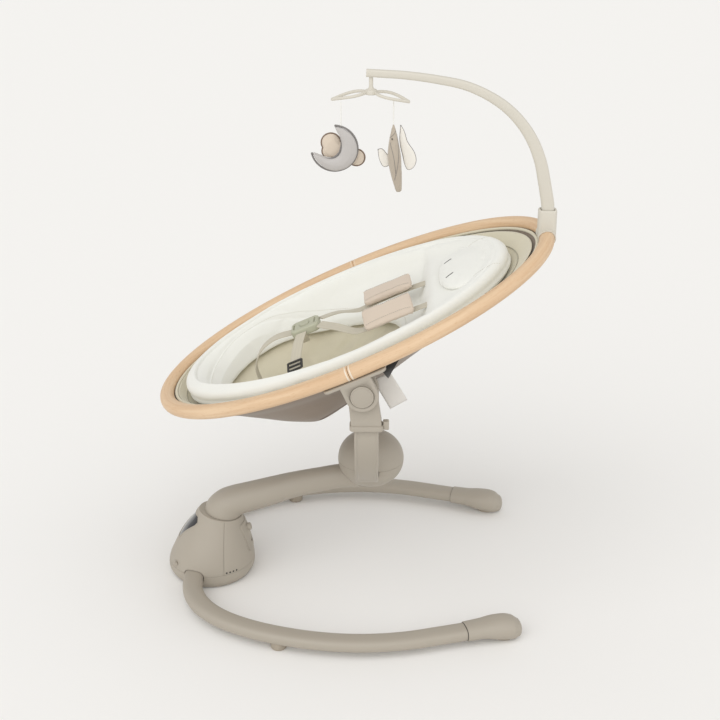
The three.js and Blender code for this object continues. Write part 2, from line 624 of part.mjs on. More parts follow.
function buildSeat() {
  addPart('rim_head_half', rimHalf(1), WOOD_LOOK, seat);
  addPart('rim_foot_half', rimHalf(-1), WOOD_LOOK, seat);

  const over = SHELL_TOP + 6;
  const shell = cut(bowl(0, SHELL_TOP), bowl(SHELL_WALL, over));
  addPart('seat_shell', shell, SHELL_FABRIC, seat);
  const linerInset = SHELL_WALL + GAP;
  const liner = cut(bowl(linerInset, SHELL_TOP), bowl(linerInset + SHELL_WALL, over));
  addPart('seat_liner', liner, LINER_FABRIC, seat);

  // The cushion follows the liner, stands a little over the rim and leaves a well for the child. Its back is
  // stuffed up to just under the rim, where the head lies.
  const under = linerInset + SHELL_WALL + GAP;
  const padX = RIM_X - 15;
  const outlineSize = [innerHalfLength - 38, innerHalfWidth - 18];
  const outline = ovalPlate(padX, 0, ...outlineSize, RIM_Z - 200, RIM_Z + 14, 28);
  const well = ovalPlate(padX + WELL_X, 0, WELL[0], WELL[1], -200, 200, 24);
  const filled = common(bowl(under, RIM_Z + 20), outline);
  const cushion = cut(filled, bowl(under + CUSHION_THICKNESS, RIM_Z + 22), well);
  const back = common(filled, standingSlab(backOutline(), 0, 4 * innerHalfWidth));
  addPart('inlay_cushion', join(cushion, back), CUSHION_FABRIC, seat);
}

function buildHingeCovers() {
  const y = postY();
  const [halfX, halfY] = postHalf();
  const outerY = y - halfY - GAP;
  const innerY = y + halfY + GAP;
  const flangeTop = RIM_Z - RIM_HEIGHT / 2 - GAP;
  const radius = halfX + 2.5;
  const cheek = (y0, y1) => {
    const disc = rod(vec(0, y0, 0), vec(0, y1, 0), radius, 20);
    const neck = block([-radius, radius], [y0, y1], [flangeTop - 6, flangeTop - 1]);
    return join(disc, neck).hull();
  };
  const across = [outerY - CHEEK, innerY + INNER_CHEEK];
  const bridge = block([-radius - 4, radius + 4], across, [flangeTop - 3.2, flangeTop]);
  const flange = block([-52, 52], across, [flangeTop - 3, flangeTop]);
  const clearance = rod(vec(0, outerY, 0), vec(0, innerY, 0), halfX - 1 + RUNNING, 20);
  const pin = rod(vec(0, outerY + 1.5, 0), vec(0, innerY + 1, 0), RECLINE_PIN_RADIUS);
  const holeRadius = RECLINE_BUTTON_RADIUS + RUNNING / 2;
  const buttonHole = rod(vec(0, outerY - 60, 0), vec(0, outerY - RUNNING, 0), holeRadius, 20);
  const cheeks = join(cheek(outerY - CHEEK, outerY), cheek(innerY, innerY + INNER_CHEEK), bridge, flange);
  const fabric = bowl(-GAP, SHELL_TOP + 6);
  addPair('hinge_cover', cut(cheeks, clearance, buttonHole, fabric).add(pin), FRAME_PLASTIC, seat);
  const buttonEnds = [vec(0, outerY - CHEEK - 1.5, 0), vec(0, outerY - RUNNING - 4.6, 0)];
  const button = rod(...buttonEnds, RECLINE_BUTTON_RADIUS, 20);
  addPair('recline_button', button, FRAME_PLASTIC, seat);
}

function buildHarness() {
  // The two shoulder pads hang loose on their straps, both leaning to the child's left.
  const backZ = RIM_Z;
  const strapZ = backZ - 14;
  const [padLength, padWidth, padY] = SHOULDER_PAD;
  const shoulder = (lean) => roundedSlab(padLength, padWidth, 7, -5, 4).rotate([lean, 0, 0]);
  addPart('left_shoulder_pad', shoulder(SHOULDER_LEAN[0]).translate([64, -padY, backZ]), PAD_FABRIC, seat);
  addPart('right_shoulder_pad', shoulder(SHOULDER_LEAN[1]).translate([64, padY, backZ]), PAD_FABRIC, seat);

  const headPad = loft((t) => {
    const round = Math.sqrt(Math.max(0.04, 1 - (2 * t - 1) ** 2));
    const swell = 0.75 + 0.25 * round;
    const z = RIM_Z - CUSHION_BACK_DEPTH + GAP + HEAD_PAD_THICKNESS * t;
    return { centre: vec(212, 0, z), across: vec(52 * swell, 0, 0), up: vec(0, 88 * swell, 0) };
  }, 4, 20, 0.8);
  addPart('head_pad', headPad, CUSHION_FABRIC, seat);

  const buckleAt = vec(-87, 0, RIM_Z + 12);
  const buckle = roundedSlab(26, 21, 8, -7, 7).translate([buckleAt.x, 0, buckleAt.z]);
  const over = (height) => buckleAt.clone().add(vec(0, 0, height));
  const pocket = rod(over(2.5), over(20), BUCKLE_KEY_RADIUS + RUNNING / 2, 24);
  addPart('buckle_body', cut(buckle, pocket), BUCKLE_PLASTIC, seat);
  const key = rod(over(5), over(8.5), BUCKLE_KEY_RADIUS, 24);
  addPart('buckle_button', key, BUCKLE_PLASTIC, seat);

  const strapShape = (points, half, thick, side) => pathLoft(points, side, () => [half, thick], 6, 8, 0.4);
  const crotch = strapShape([
    vec(-205, 0, -9), vec(-200, 0, 22), vec(-178, 0, 47), vec(-146, 0, 58),
    vec(buckleAt.x - 27, 0, buckleAt.z),
  ], 12, 1.2, vec(0, 1, 0));
  addPart('crotch_strap', crotch, WEBBING, seat);
  const waist = strapShape([
    vec(-95, -22, buckleAt.z), vec(-105, -48, buckleAt.z - 10), vec(-118, -82, buckleAt.z - 34),
    vec(-122, -92, buckleAt.z - 60),
  ], 10, 1.2, vec(1, 0, 0));
  addPair('waist_strap', waist, WEBBING, seat);
  const shoulderStrap = strapShape([
    vec(buckleAt.x + 27, -14, buckleAt.z), vec(-30, -34, buckleAt.z - 10), vec(2, -padY + 4, strapZ),
    vec(30, -padY, strapZ - 0.5), vec(64, -padY, strapZ), vec(108, -padY, strapZ - 0.5),
    vec(138, -padY + 2, strapZ - 2),
  ], 1.2, 10, vec(0, 0, 1));
  addPair('shoulder_strap', shoulderStrap, WEBBING, seat);
}

function buildLabel() {
  const plate = new THREE.BoxGeometry(32, 0.8, 58).rotateY(radians(-30));
  addPart('care_label', solid(plate.translate(52, postY() + 26, RECLINE_AXIS[1] - 10)), LABEL);
}

// ---- Toy bar and mobile --------------------------------------------------------------------------------

const archFoot = () => {
  const [x, z] = seatPoint(RIM_X + RIM_HALF_LENGTH, RIM_Z);
  return vec(x, 0, z + RIM_HEIGHT / 2 + 6);
};

function archPoints() {
  const foot = archFoot();
  const reach = foot.x - MOBILE_X + 8;
  const rise = MOBILE_Z + 31 - foot.z;
  const line = [
    [0, 0], [0, 0.06], [0, 0.12], [-0.025, 0.28], [-0.055, 0.43], [-0.1, 0.56], [-0.16, 0.67],
    [-0.245, 0.775], [-0.345, 0.855], [-0.47, 0.92], [-0.62, 0.958], [-0.79, 0.985], [-0.92, 0.995], [-1, 1],
  ];
  return line.map(([across, up]) => vec(foot.x + across * reach, 0, foot.z + up * rise));
}

function buildToyBar() {
  const foot = archFoot();
  const [baseThick, baseDeep] = ARCH_BASE;
  const [tipThick, tipDeep] = ARCH_TIP;
  const sizeAt = (t) => {
    const taper = THREE.MathUtils.smoothstep(t, 0.1, 0.95);
    return [
      THREE.MathUtils.lerp(baseDeep, tipDeep, taper) / 2,
      THREE.MathUtils.lerp(baseThick, tipThick, taper) / 2,
    ];
  };
  const arch = pathLoft(archPoints(), vec(0, 1, 0), sizeAt, 22, 8, 0.5);
  const stemHole = rod(vec(MOBILE_X, 0, MOBILE_Z), vec(MOBILE_X, 0, MOBILE_Z + 29), 3.3 + RUNNING / 2, 16);
  addPart('toy_arch', cut(arch, stemHole), LIGHT_PLASTIC);

  // The clip sits over the rim's head end; the toy bar plugs into its socket.
  const wall = 4.5;
  const halfX = baseThick / 2 + wall;
  const halfY = baseDeep / 2 + wall;
  const clip = roundedSlab(halfX, halfY, 7, foot.z - 20, foot.z + SOCKET_DEPTH).translate([foot.x, 0, 0]);
  const socket = roundedSlab(baseThick / 2 + RUNNING, baseDeep / 2 + RUNNING, 3, foot.z - GAP, foot.z + 60);
  const rim = rimHalf(1, GAP).rotate([0, -SEAT_TILT, 0]).translate([RECLINE_AXIS[0], 0, RECLINE_AXIS[1]]);
  addPart('toy_bar_clip', cut(clip, socket.translate([foot.x, 0, 0]), rim), LIGHT_PLASTIC);
}

// One leaf-shaped loop, from the mobile's middle out along +X, bent down towards its tip.
function leafLoop(angle) {
  const leaf = (inset, over) => {
    const start = 2 + inset * 1.6;
    const end = LEAF_LENGTH - inset * 1.9;
    const bulge = (LEAF_WIDTH / 2 - inset) * 1.33;
    const shape = new THREE.Shape();
    shape.moveTo(start, 0);
    shape.bezierCurveTo(start + 14, bulge, end - 30, bulge, end, 0);
    shape.bezierCurveTo(end - 30, -bulge, start + 14, -bulge, start, 0);
    const options = { depth: LEAF_BAR + 2 * over, bevelEnabled: false, curveSegments: 6 };
    return solid(new THREE.ExtrudeGeometry(shape, options).translate(0, 0, MOBILE_Z - LEAF_BAR / 2 - over));
  };
  const geometry = geometryOf(cut(leaf(0, 0), leaf(LEAF_BAR, 1)));
  const position = geometry.attributes.position;
  for (let i = 0; i < position.count; i += 1) {
    const share = Math.max(0, position.getX(i)) / LEAF_LENGTH;
    position.setZ(i, position.getZ(i) - LEAF_DROOP * share ** 1.5);
  }
  return solid(geometry).rotate([0, 0, angle]).translate([MOBILE_X, 0, 0]);
}

function buildMobile() {
  const hub = rod(vec(MOBILE_X, 0, MOBILE_Z - 4), vec(MOBILE_X, 0, MOBILE_Z + 4), 10, 24);
  const stem = rod(vec(MOBILE_X, 0, MOBILE_Z + 2), vec(MOBILE_X, 0, MOBILE_Z + 28), 3.3, 16);
  addPart('mobile_hanger', join(hub, stem, leafLoop(180), leafLoop(-14)), LIGHT_PLASTIC);
}

// A flat outline in the XZ plane, thickened about a middle in Y.
function standingSlab(shape, middleY, thickness) {
  const options = { depth: thickness, bevelEnabled: false, curveSegments: 10 };
  const geometry = new THREE.ExtrudeGeometry(shape, options).rotateX(Math.PI / 2);
  return solid(geometry.translate(0, middleY + thickness / 2, 0));
}

function buildToys() {
  const y = -14;
  const moonX = -40;
  const moonZ = 819;
  const moonTop = 858;
  const stringX = -31;
  const leafZ = MOBILE_Z - LEAF_BAR / 2 - 10;
  const moonString = rod(vec(stringX, y, moonTop), vec(stringX, y, leafZ - 1.2), STRING_RADIUS, 8);
  addPart('moon_string', moonString, STRING);

  // Crescent: an outer circle's arc and a smaller inner arc, opening up and to the foot end.
  const moon = new THREE.Shape();
  const r = 40;
  moon.absarc(moonX, moonZ, r, radians(80), radians(190), true);
  moon.quadraticCurveTo(moonX - 8, moonZ - 26, moonX + 4, moonZ - 6);
  const horn = radians(80);
  moon.quadraticCurveTo(moonX + 14, moonZ + 12, moonX + r * Math.cos(horn), moonZ + r * Math.sin(horn));
  const moonBody = standingSlab(moon, y, 14);
  addPart('moon_toy', moonBody, MOON_FABRIC);

  const cloudY = y + 7 + GAP + 6;
  const lobes = [[moonX - 12, moonZ + 4, 17], [moonX + 10, moonZ - 10, 18], [moonX + 26, moonZ - 17, 14]];
  const lobe = ([x, z, radius]) => rod(vec(x, cloudY - 6, z), vec(x, cloudY + 6, z), radius, 14);
  const lobeBody = lobes.map(lobe);
  addPart('cloud_toy', join(...lobeBody), CLOUD_FABRIC);

  const birdX = 57;
  const birdTop = 861;
  const birdY = -10;
  const line = [vec(birdX - 2, birdY, birdTop), vec(birdX, birdY, 805), vec(birdX + 8, birdY, 747)];
  const sizes = new THREE.CatmullRomCurve3([
    vec(3, 3, 0), vec(12, 13, 1), vec(14, 16, 2), vec(11, 12, 3), vec(5, 6, 4),
  ]);
  const bird = pathLoft(line, vec(0, 1, 0), (t) => [sizes.getPoint(t).x, sizes.getPoint(t).y], 8, 10);
  addPart('bird_toy', bird, BIRD_FABRIC);
  const birdLeafZ = MOBILE_Z - LEAF_BAR / 2 - 6.2;
  const hangX = birdX - 2;
  const string = rod(vec(hangX, birdY, birdTop + GAP), vec(hangX, birdY, birdLeafZ - 1.2), STRING_RADIUS, 8);
  addPart('bird_string', string, STRING);
}

// ---- Assembly ------------------------------------------------------------------------------------------

buildHousing(buildLegs());
buildDrive();
buildArm();
buildPosts();
buildSeat();
buildHingeCovers();
buildHarness();
buildLabel();
buildToyBar();
buildMobile();
buildToys();

// Stand the object on the floor with its plan centred on the origin.
const bounds = new THREE.Box3().setFromObject(object, true);
const middle = bounds.getCenter(vec(0, 0, 0));
object.position.set(-middle.x, -middle.y, -bounds.min.z);
object.updateMatrixWorld(true);

export default object;
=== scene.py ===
# Electric baby swing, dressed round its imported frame: a greige horseshoe base with a motor housing, one
# tilted swing arm, a yoke with a reclining oval seat in a beech-look rim, and a toy bar with a mobile.
import json
import math

import bmesh
import bpy
import numpy as np
from mathutils import Matrix, Vector, geometry
from mathutils.bvhtree import BVHTree


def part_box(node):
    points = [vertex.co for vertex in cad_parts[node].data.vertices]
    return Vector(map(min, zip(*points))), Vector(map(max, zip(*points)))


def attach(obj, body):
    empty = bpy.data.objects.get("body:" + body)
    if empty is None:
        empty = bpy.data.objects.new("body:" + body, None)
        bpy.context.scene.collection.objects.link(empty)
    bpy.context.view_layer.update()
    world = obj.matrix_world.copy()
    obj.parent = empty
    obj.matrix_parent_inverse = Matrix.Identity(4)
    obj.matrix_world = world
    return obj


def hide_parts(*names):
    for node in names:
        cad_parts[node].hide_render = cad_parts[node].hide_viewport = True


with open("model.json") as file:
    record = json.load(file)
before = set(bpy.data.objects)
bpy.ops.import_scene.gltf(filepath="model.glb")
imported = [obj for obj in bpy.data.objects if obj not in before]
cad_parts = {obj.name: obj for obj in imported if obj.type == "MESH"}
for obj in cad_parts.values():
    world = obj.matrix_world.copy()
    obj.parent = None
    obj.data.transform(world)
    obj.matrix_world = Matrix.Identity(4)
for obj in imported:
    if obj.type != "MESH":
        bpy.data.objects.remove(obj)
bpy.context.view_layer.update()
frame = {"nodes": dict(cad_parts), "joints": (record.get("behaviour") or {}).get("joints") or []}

# ---- Camera --------------------------------------------------------------------------------------
# A long lens a little above the seat, level with its side and turned a degree off square.
joints = {joint["name"]: joint for joint in frame["joints"]}
# The pieces are drawn in millimetres about the yoke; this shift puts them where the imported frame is.
MOBILE_X = 18
SHIFT = 1000 * joints["mobile_spin"]["pos_m"][0] - MOBILE_X
aim = Vector((SHIFT / 1000, 0, 0.43218))
reach, turn, rise = 2.4473, math.radians(0.869), math.radians(24.25)
toward = Vector((math.sin(turn) * math.cos(rise), -math.cos(turn) * math.cos(rise), math.sin(rise)))
lens = bpy.data.cameras.new("camera")
lens.lens = 69.0
lens.sensor_width = 36


def linked(name, data):
    """A new object in the scene."""
    made = bpy.data.objects.new(name, data)
    bpy.context.scene.collection.objects.link(made)
    return made


camera = linked("camera", lens)
camera.location = aim + reach * toward
camera.rotation_euler = (-toward).to_track_quat("-Z", "Y").to_euler()
bpy.context.scene.camera = camera


# ---- Strings of the mobile -----------------------------------------------------------------------
# Two twisted white cotton strings, knotted round the leaf loops and sewn into the toys, which hang on them.
# They carry the toys' weight, so they are straight.
def metres(points):
    """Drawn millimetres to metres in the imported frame."""
    return (np.array(points, float) + (SHIFT, 0, 0)) / 1000


def hex_colour(code):
    """An sRGB hex colour as linear red, green, blue and alpha."""
    parts = [int(code[i:i + 2], 16) / 255 for i in (1, 3, 5)]
    return [p / 12.92 if p <= 0.04045 else ((p + 0.055) / 1.055) ** 2.4 for p in parts] + [1.0]


def shaded(code, share):
    """A hex colour's linear value made lighter or darker by a share."""
    return [min(1.0, part * share) for part in hex_colour(code)[:3]] + [1.0]


def node(tree, kind, inputs=None, **settings):
    """Adds a node; an input is a value or the socket that feeds it."""
    made = tree.nodes.new(kind)
    for key, value in settings.items():
        setattr(made, key, value)
    for key, value in (inputs or {}).items():
        if isinstance(value, bpy.types.NodeSocket):
            tree.links.new(value, made.inputs[key])
        else:
            made.inputs[key].default_value = value
    return made


def blank(name):
    """A new material and its empty tree."""
    material = bpy.data.materials.new(name)
    material.use_nodes = True
    material.node_tree.nodes.clear()
    return material, material.node_tree


def surface(tree, inputs):
    """Closes a material's tree with its shader."""
    shader = node(tree, "ShaderNodeBsdfPrincipled", inputs)
    node(tree, "ShaderNodeOutputMaterial", {"Surface": shader.outputs["BSDF"]})


def cloth(name, code, thread_mm, relief_mm=0.25, sheen=0.25, mottle=0.07, rough=0.92):
    """Woven or knitted cloth: closely packed thread loops with painted shade between them, fuzz and an uneven
    dye.

    The loops are drawn about twice as coarse as real threads, so that they show.
    """
    material, tree = blank(name)
    place = node(tree, "ShaderNodeTexCoord").outputs["Object"]
    weave = node(tree, "ShaderNodeTexVoronoi", {"Vector": place, "Scale": 1000 / thread_mm,
                                                "Randomness": 0.45}).outputs["Distance"]
    fuzz = node(tree, "ShaderNodeTexNoise", {"Vector": place, "Scale": 700.0, "Detail": 3.0}).outputs["Fac"]
    height = node(tree, "ShaderNodeMath", {0: weave, 1: fuzz}, operation="ADD").outputs[0]
    dye = node(tree, "ShaderNodeTexNoise", {"Vector": place, "Scale": 22.0, "Detail": 4.0}).outputs["Fac"]
    # Painted shade: the tone follows the weave as well as the dye, darker in the dips between the loops.
    dye_and_shade = node(tree, "ShaderNodeMath", {0: dye, 1: weave, 2: 0.15}, operation="MULTIPLY_ADD")
    tone = node(tree, "ShaderNodeMix", {"Factor": dye_and_shade.outputs[0], 6: shaded(code, 1 - mottle),
                                        7: shaded(code, 1 + mottle)}, data_type="RGBA")
    bump = node(tree, "ShaderNodeBump", {"Height": height, "Strength": 0.5, "Distance": relief_mm / 1000})
    surface(tree, {"Base Color": tone.outputs[2], "Roughness": rough, "Sheen Weight": sheen,
                   "Sheen Roughness": 0.5, "Specular IOR Level": 0.2, "Normal": bump.outputs["Normal"]})
    return material


def fit(piece, body, slot, material, *nodes):
    """Dresses a finished piece: its material, the body it rides on and the nodes it stands for; slot is not
    used.
    """
    piece.data.materials.clear()
    piece.data.materials.append(material)
    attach(piece, body)
    if nodes:
        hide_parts(*nodes)
    return piece


# Twisted cotton: matt, nearly white and a little hairy.
cotton = cloth("twisted_cotton", "#efeee8", 1.0, 0.2)
STRING_DIAMETER, STRING_STEPS = 0.0018, 15
for toy, node_name in (("moon", "moon_string"), ("bird", "bird_string")):
    low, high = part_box(node_name)
    middle_x, middle_y = (low[0] + high[0]) / 2, (low[1] + high[1]) / 2
    curve = bpy.data.curves.new(f"{toy}_hanging_string", "CURVE")
    curve.dimensions = "3D"
    curve.bevel_depth = STRING_DIAMETER / 2
    curve.bevel_resolution = 3
    curve.use_fill_caps = True
    yarn = curve.splines.new("POLY")
    yarn.points.add(STRING_STEPS)
    for step, point in enumerate(yarn.points):
        point.co = (middle_x, middle_y, high[2] + (low[2] - high[2]) * step / STRING_STEPS, 1)
    string = linked(f"{toy}_hanging_string", curve)
    fit(string, toy, "string_cotton", cotton, node_name)


# ---- Stitches ------------------------------------------------------------------------------------
# One node tree sews every visible seam: it steps along a line and lays a short thread at each step.
def stitch_tree():
    """The sewing machine: a line goes in and its run of stitches comes out, sizes in metres."""
    tree = bpy.data.node_groups.new("run_of_stitches", "GeometryNodeTree")
    sockets = tree.interface
    sockets.new_socket("Line", in_out="INPUT", socket_type="NodeSocketGeometry")
    for label, usual in (("Step", 0.0045), ("Thread Length", 0.003), ("Thread Radius", 0.0004)):
        sockets.new_socket(label, in_out="INPUT", socket_type="NodeSocketFloat").default_value = usual
    sockets.new_socket("Thread", in_out="INPUT", socket_type="NodeSocketMaterial")
    sockets.new_socket("Seam", in_out="OUTPUT", socket_type="NodeSocketGeometry")
    given = node(tree, "NodeGroupInput").outputs
    line = node(tree, "GeometryNodeMeshToCurve", {"Mesh": given["Line"]})
    steps = node(tree, "GeometryNodeCurveToPoints", {"Curve": line.outputs[0], "Length": given["Step"]},
                 mode="LENGTH")
    thread = node(tree, "GeometryNodeMeshCylinder", {"Vertices": 8, "Radius": given["Thread Radius"],
                                                     "Depth": given["Thread Length"]})
    laid = node(tree, "GeometryNodeInstanceOnPoints", {"Points": steps.outputs["Points"],
                                                       "Instance": thread.outputs["Mesh"],
                                                       "Rotation": steps.outputs["Rotation"]})
    real = node(tree, "GeometryNodeRealizeInstances", {"Geometry": laid.outputs[0]})
    dressed = node(tree, "GeometryNodeSetMaterial", {"Geometry": real.outputs[0],
                                                     "Material": given["Thread"]})
    node(tree, "NodeGroupOutput", {"Seam": dressed.outputs[0]})
    return tree


STITCHES = stitch_tree()


def sewn(name, path, body, slot, material, closed=False, step_mm=4.5, thread_mm=3.0, lay=None):
    """A run of stitches along a path of points in millimetres."""
    points = [tuple(p) for p in metres(lay(path) if lay else np.array(path, float))]
    edges = [(i, i + 1) for i in range(len(points) - 1)] + ([(len(points) - 1, 0)] if closed else [])
    line = bpy.data.meshes.new(name + "_line")
    line.from_pydata(points, edges, [])
    piece = linked(name + "_line", line)
    sew = piece.modifiers.new("sew", "NODES")
    sew.node_group = STITCHES
    wanted = {"Step": step_mm / 1000, "Thread Length": thread_mm / 1000, "Thread": material}
    for item in STITCHES.interface.items_tree:
        if item.name in wanted:
            sew[item.identifier] = wanted[item.name]
    bpy.context.view_layer.update()
    made = bpy.data.meshes.new_from_object(piece.evaluated_get(bpy.context.evaluated_depsgraph_get()))
    bpy.data.objects.remove(piece)
    return fit(linked(name, made), body, slot, material)


# ---- Legs ----------------------------------------------------------------------------------------
# Two bent steel tubes under a moulded greige skin, oval in section, from the housing round to the boots.
def spline(points, shares):
    """A smooth curve through points (centripetal), read at shares of its stretches."""
    points = np.array(points, float)
    held = np.vstack([2 * points[0] - points[1], points, 2 * points[-1] - points[-2]])
    last = len(points) - 2
    out = []
    for share in shares:
        place = min(max(share, 0), 1) * (last + 1)
        i = min(int(place), last)
        w = place - i
        a, b, c, d = held[i:i + 4]
        da, db, dc = (max(np.linalg.norm(q - p) ** 0.5, 1e-6) for p, q in ((a, b), (b, c), (c, d)))
        start = ((b - a) / da - (c - a) / (da + db) + (c - b) / db) * db
        end = ((c - b) / db - (d - b) / (db + dc) + (d - c) / dc) * db
        out.append(b + start * w + (3 * (c - b) - 2 * start - end) * w * w
                   + (2 * (b - c) + start + end) * w ** 3)
    return np.array(out)


def oval(sides, squareness=1.0):
    """A unit outline: 1 is an ellipse, smaller values fill its corners."""
    angles = np.linspace(0, 2 * math.pi, sides, endpoint=False)
    pair = np.stack([np.cos(angles), np.sin(angles)], axis=1)
    return np.sign(pair) * np.abs(pair) ** squareness


def sweep(path, sideways, size_at, count, outline, closed=False):
    """Rings along a path. The outline's first number runs along sideways, its second square to it."""
    shares = np.linspace(0, 1, count, endpoint=not closed)
    if closed:
        ring = [*path[-2:], *path, *path[:3]]
        centre = spline(ring, (2 + shares * len(path)) / (len(ring) - 1))
        along = np.roll(centre, -1, axis=0) - np.roll(centre, 1, axis=0)
    else:
        centre = spline(path, shares)
        along = np.gradient(centre, axis=0)
    side = np.array(sideways, float) / np.linalg.norm(sideways)
    along -= (along @ side)[:, None] * side
    along /= np.linalg.norm(along, axis=1)[:, None]
    up = np.cross(along, side)
    rings = []
    for share, point, lift in zip(shares, centre, up):
        half_side, half_up = size_at(share)
        shape = outline(share) if callable(outline) else outline
        rings.append(point + shape[:, :1] * half_side * side + shape[:, 1:] * half_up * lift)
    return np.array(rings)


SHARP_EDGE = math.radians(38)


def piece_from(name, verts, faces, uvs=None):
    """A linked mesh object from metres, its faces turned outwards and shaded smooth."""
    mesh = bpy.data.meshes.new(name)
    mesh.from_pydata([tuple(v) for v in verts], [], faces)
    if uvs is not None:
        layer = mesh.uv_layers.new(name="along")
        layer.data.foreach_set("uv", np.array(uvs, float).reshape(-1))
    made = bmesh.new()
    made.from_mesh(mesh)
    bmesh.ops.remove_doubles(made, verts=made.verts, dist=1e-6)
    bmesh.ops.recalc_face_normals(made, faces=made.faces)
    made.to_mesh(mesh)
    made.free()
    mesh.shade_smooth()
    mesh.set_sharp_from_angle(angle=SHARP_EDGE)
    return linked(name, mesh)


def skin(name, rings, closed=False, caps=(True, True), domes=(0, 0), lay=None):
    """A mesh round rings of points in millimetres, with UV in metres along and around it."""
    rings = np.array(rings, float)
    if not closed:
        grown = [rings]
        for end, dome in ((0, domes[0]), (-1, domes[1])):
            if dome:
                middle = rings[end].mean(axis=0)
                away = middle - rings[1 if end == 0 else -2].mean(axis=0)
                away /= np.linalg.norm(away)
                extra = [middle + (rings[end] - middle) * math.cos(b) + away * dome * math.sin(b)
                         for b in np.radians([25, 45, 62, 76, 86])]
                grown = [np.array(extra[::-1]), *grown] if end == 0 else [*grown, np.array(extra)]
        rings = np.vstack(grown)
    if lay:
        rings = lay(rings)
    count, sides = rings.shape[:2]
    middles = rings.mean(axis=1)
    steps = np.linalg.norm(np.roll(middles, -1, axis=0) - middles, axis=1)
    along = np.concatenate([[0], np.cumsum(steps)]) / 1000
    widest = rings[count // 2]
    girths = np.linalg.norm(np.roll(widest, -1, axis=0) - widest, axis=1)
    around = np.concatenate([[0], np.cumsum(girths)]) / 1000
    verts = list(metres(rings.reshape(-1, 3)))
    faces, uvs = [], []
    for i in range(count if closed else count - 1):
        j = (i + 1) % count
        for k in range(sides):
            m = (k + 1) % sides
            faces.append((i * sides + k, i * sides + m, j * sides + m, j * sides + k))
            uvs += [(along[i], around[k]), (along[i], around[k + 1]),
                    (along[i + 1], around[k + 1]), (along[i + 1], around[k])]
    for end, cap in ((0, caps[0]), (count - 1, caps[1])):
        if cap and not closed:
            verts.append(metres(middles[end]))
            for k in range(sides):
                faces.append((end * sides + k, end * sides + (k + 1) % sides, len(verts) - 1))
                uvs += [(along[end], around[k]), (along[end], around[k + 1]), (along[end], around[k])]
    return piece_from(name, verts, faces, uvs)


def mirrored(piece, name):
    """The same piece on the other side of the swing's middle plane."""
    mesh = piece.data.copy()
    mesh.transform(Matrix.Scale(-1, 4, (0, 1, 0)))
    mesh.flip_normals()
    return linked(name, mesh)


def pair(piece, body, slot, material, *nodes):
    """Fits a left piece and its mirror image; nodes and bodies are named without their side."""
    name = piece.name
    twin = mirrored(piece, name.replace("left", "right"))
    for side, one in (("left", piece), ("right", twin)):
        fit(one, body.replace("SIDE", side), slot, material, *[f"{side}_{n}" for n in nodes])
    return piece, twin


def moulded(name, code, rough=0.5, grain_mm=1.1, relief_mm=0.05, coat=0.0):
    """Injection-moulded plastic: a spark-eroded grain, with handling polish in soft patches.

    The grain is drawn coarser than the real one of a few tenths of a millimetre, so that it shows.
    """
    material, tree = blank(name)
    place = node(tree, "ShaderNodeTexCoord").outputs["Object"]
    grain = node(tree, "ShaderNodeTexNoise", {"Vector": place, "Scale": 1000 / grain_mm, "Detail": 2.0})
    patches = node(tree, "ShaderNodeTexNoise", {"Vector": place, "Scale": 9.0, "Detail": 3.0}).outputs["Fac"]
    gloss = node(tree, "ShaderNodeMapRange", {"Value": patches, "From Min": 0.3, "From Max": 0.7,
                                             "To Min": rough - 0.05, "To Max": rough + 0.07})
    tone = node(tree, "ShaderNodeMix", {"Factor": patches, 6: shaded(code, 0.975), 7: shaded(code, 1.025)},
                data_type="RGBA")
    bump = node(tree, "ShaderNodeBump", {"Height": grain.outputs["Fac"], "Strength": 0.35,
                                        "Distance": relief_mm / 1000})
    surface(tree, {"Base Color": tone.outputs[2], "Roughness": gloss.outputs[0], "Coat Weight": coat,
                   "Normal": bump.outputs["Normal"]})
    return material


# Greige ABS, moulded: satin, its grain breaks up every highlight.
greige = moulded("greige_abs", "#aba396")
BASE_HALF_WIDTH = 275
LEG_HALF = (12, 18)
LEG_Z = 24
HOUSING_X = -281
LEG_END_X = 206
LEG_LINE = [(HOUSING_X - 21, 0.145), (HOUSING_X - 25, 0.29), (HOUSING_X - 20, 0.45), (HOUSING_X, 0.605),
            (-245, 0.74), (-196, 0.845), (-137, 0.925), (-62, 0.985), (10, 1), (80, 0.972), (150, 0.905),
            (LEG_END_X, 0.845)]
leg_path = [(x, -share * BASE_HALF_WIDTH, LEG_Z) for x, share in LEG_LINE]


def leg_rings(grow=0):
    """The near leg's rings, swollen a little where they cut its socket."""
    return sweep(leg_path, (0, 0, 1), lambda t: (LEG_HALF[0] + grow, LEG_HALF[1] + grow), 150, oval(56, 0.72))


pair(skin("left_leg_skin", leg_rings()), "base", "frame_plastic", greige, "leg_tube")

# ---- Boots and feet ------------------------------------------------------------------------------
# A moulded boot closes each leg and swells down to the floor on a rubber pad; a dark gasket shows at its
# mouth. A short round foot stands under the middle of each leg.
BOOT_SOCKET, BOOT_LENGTH, BOOT_SOLE = 20, 101, 2.6
end_x, end_y, _ = leg_path[-1]
inwards = (leg_path[-1][1] - leg_path[-2][1]) / (leg_path[-1][0] - leg_path[-2][0])
boot_line = [(share * BOOT_LENGTH + end_x - BOOT_SOCKET, end_y + step * inwards, z) for share, step, z in (
    (0, -BOOT_SOCKET, 24), (0.28, 10, 24.3), (0.5, 31, 23.4), (0.7, 46, 22), (0.83, 54, 20), (0.9, 58, 18.5))]
boot_sizes = [(14.6, 20.5, 0), (15.4, 21.5, 1), (19.2, 24.5, 2), (20.6, 25, 3), (19.4, 23, 4), (16, 18, 5)]


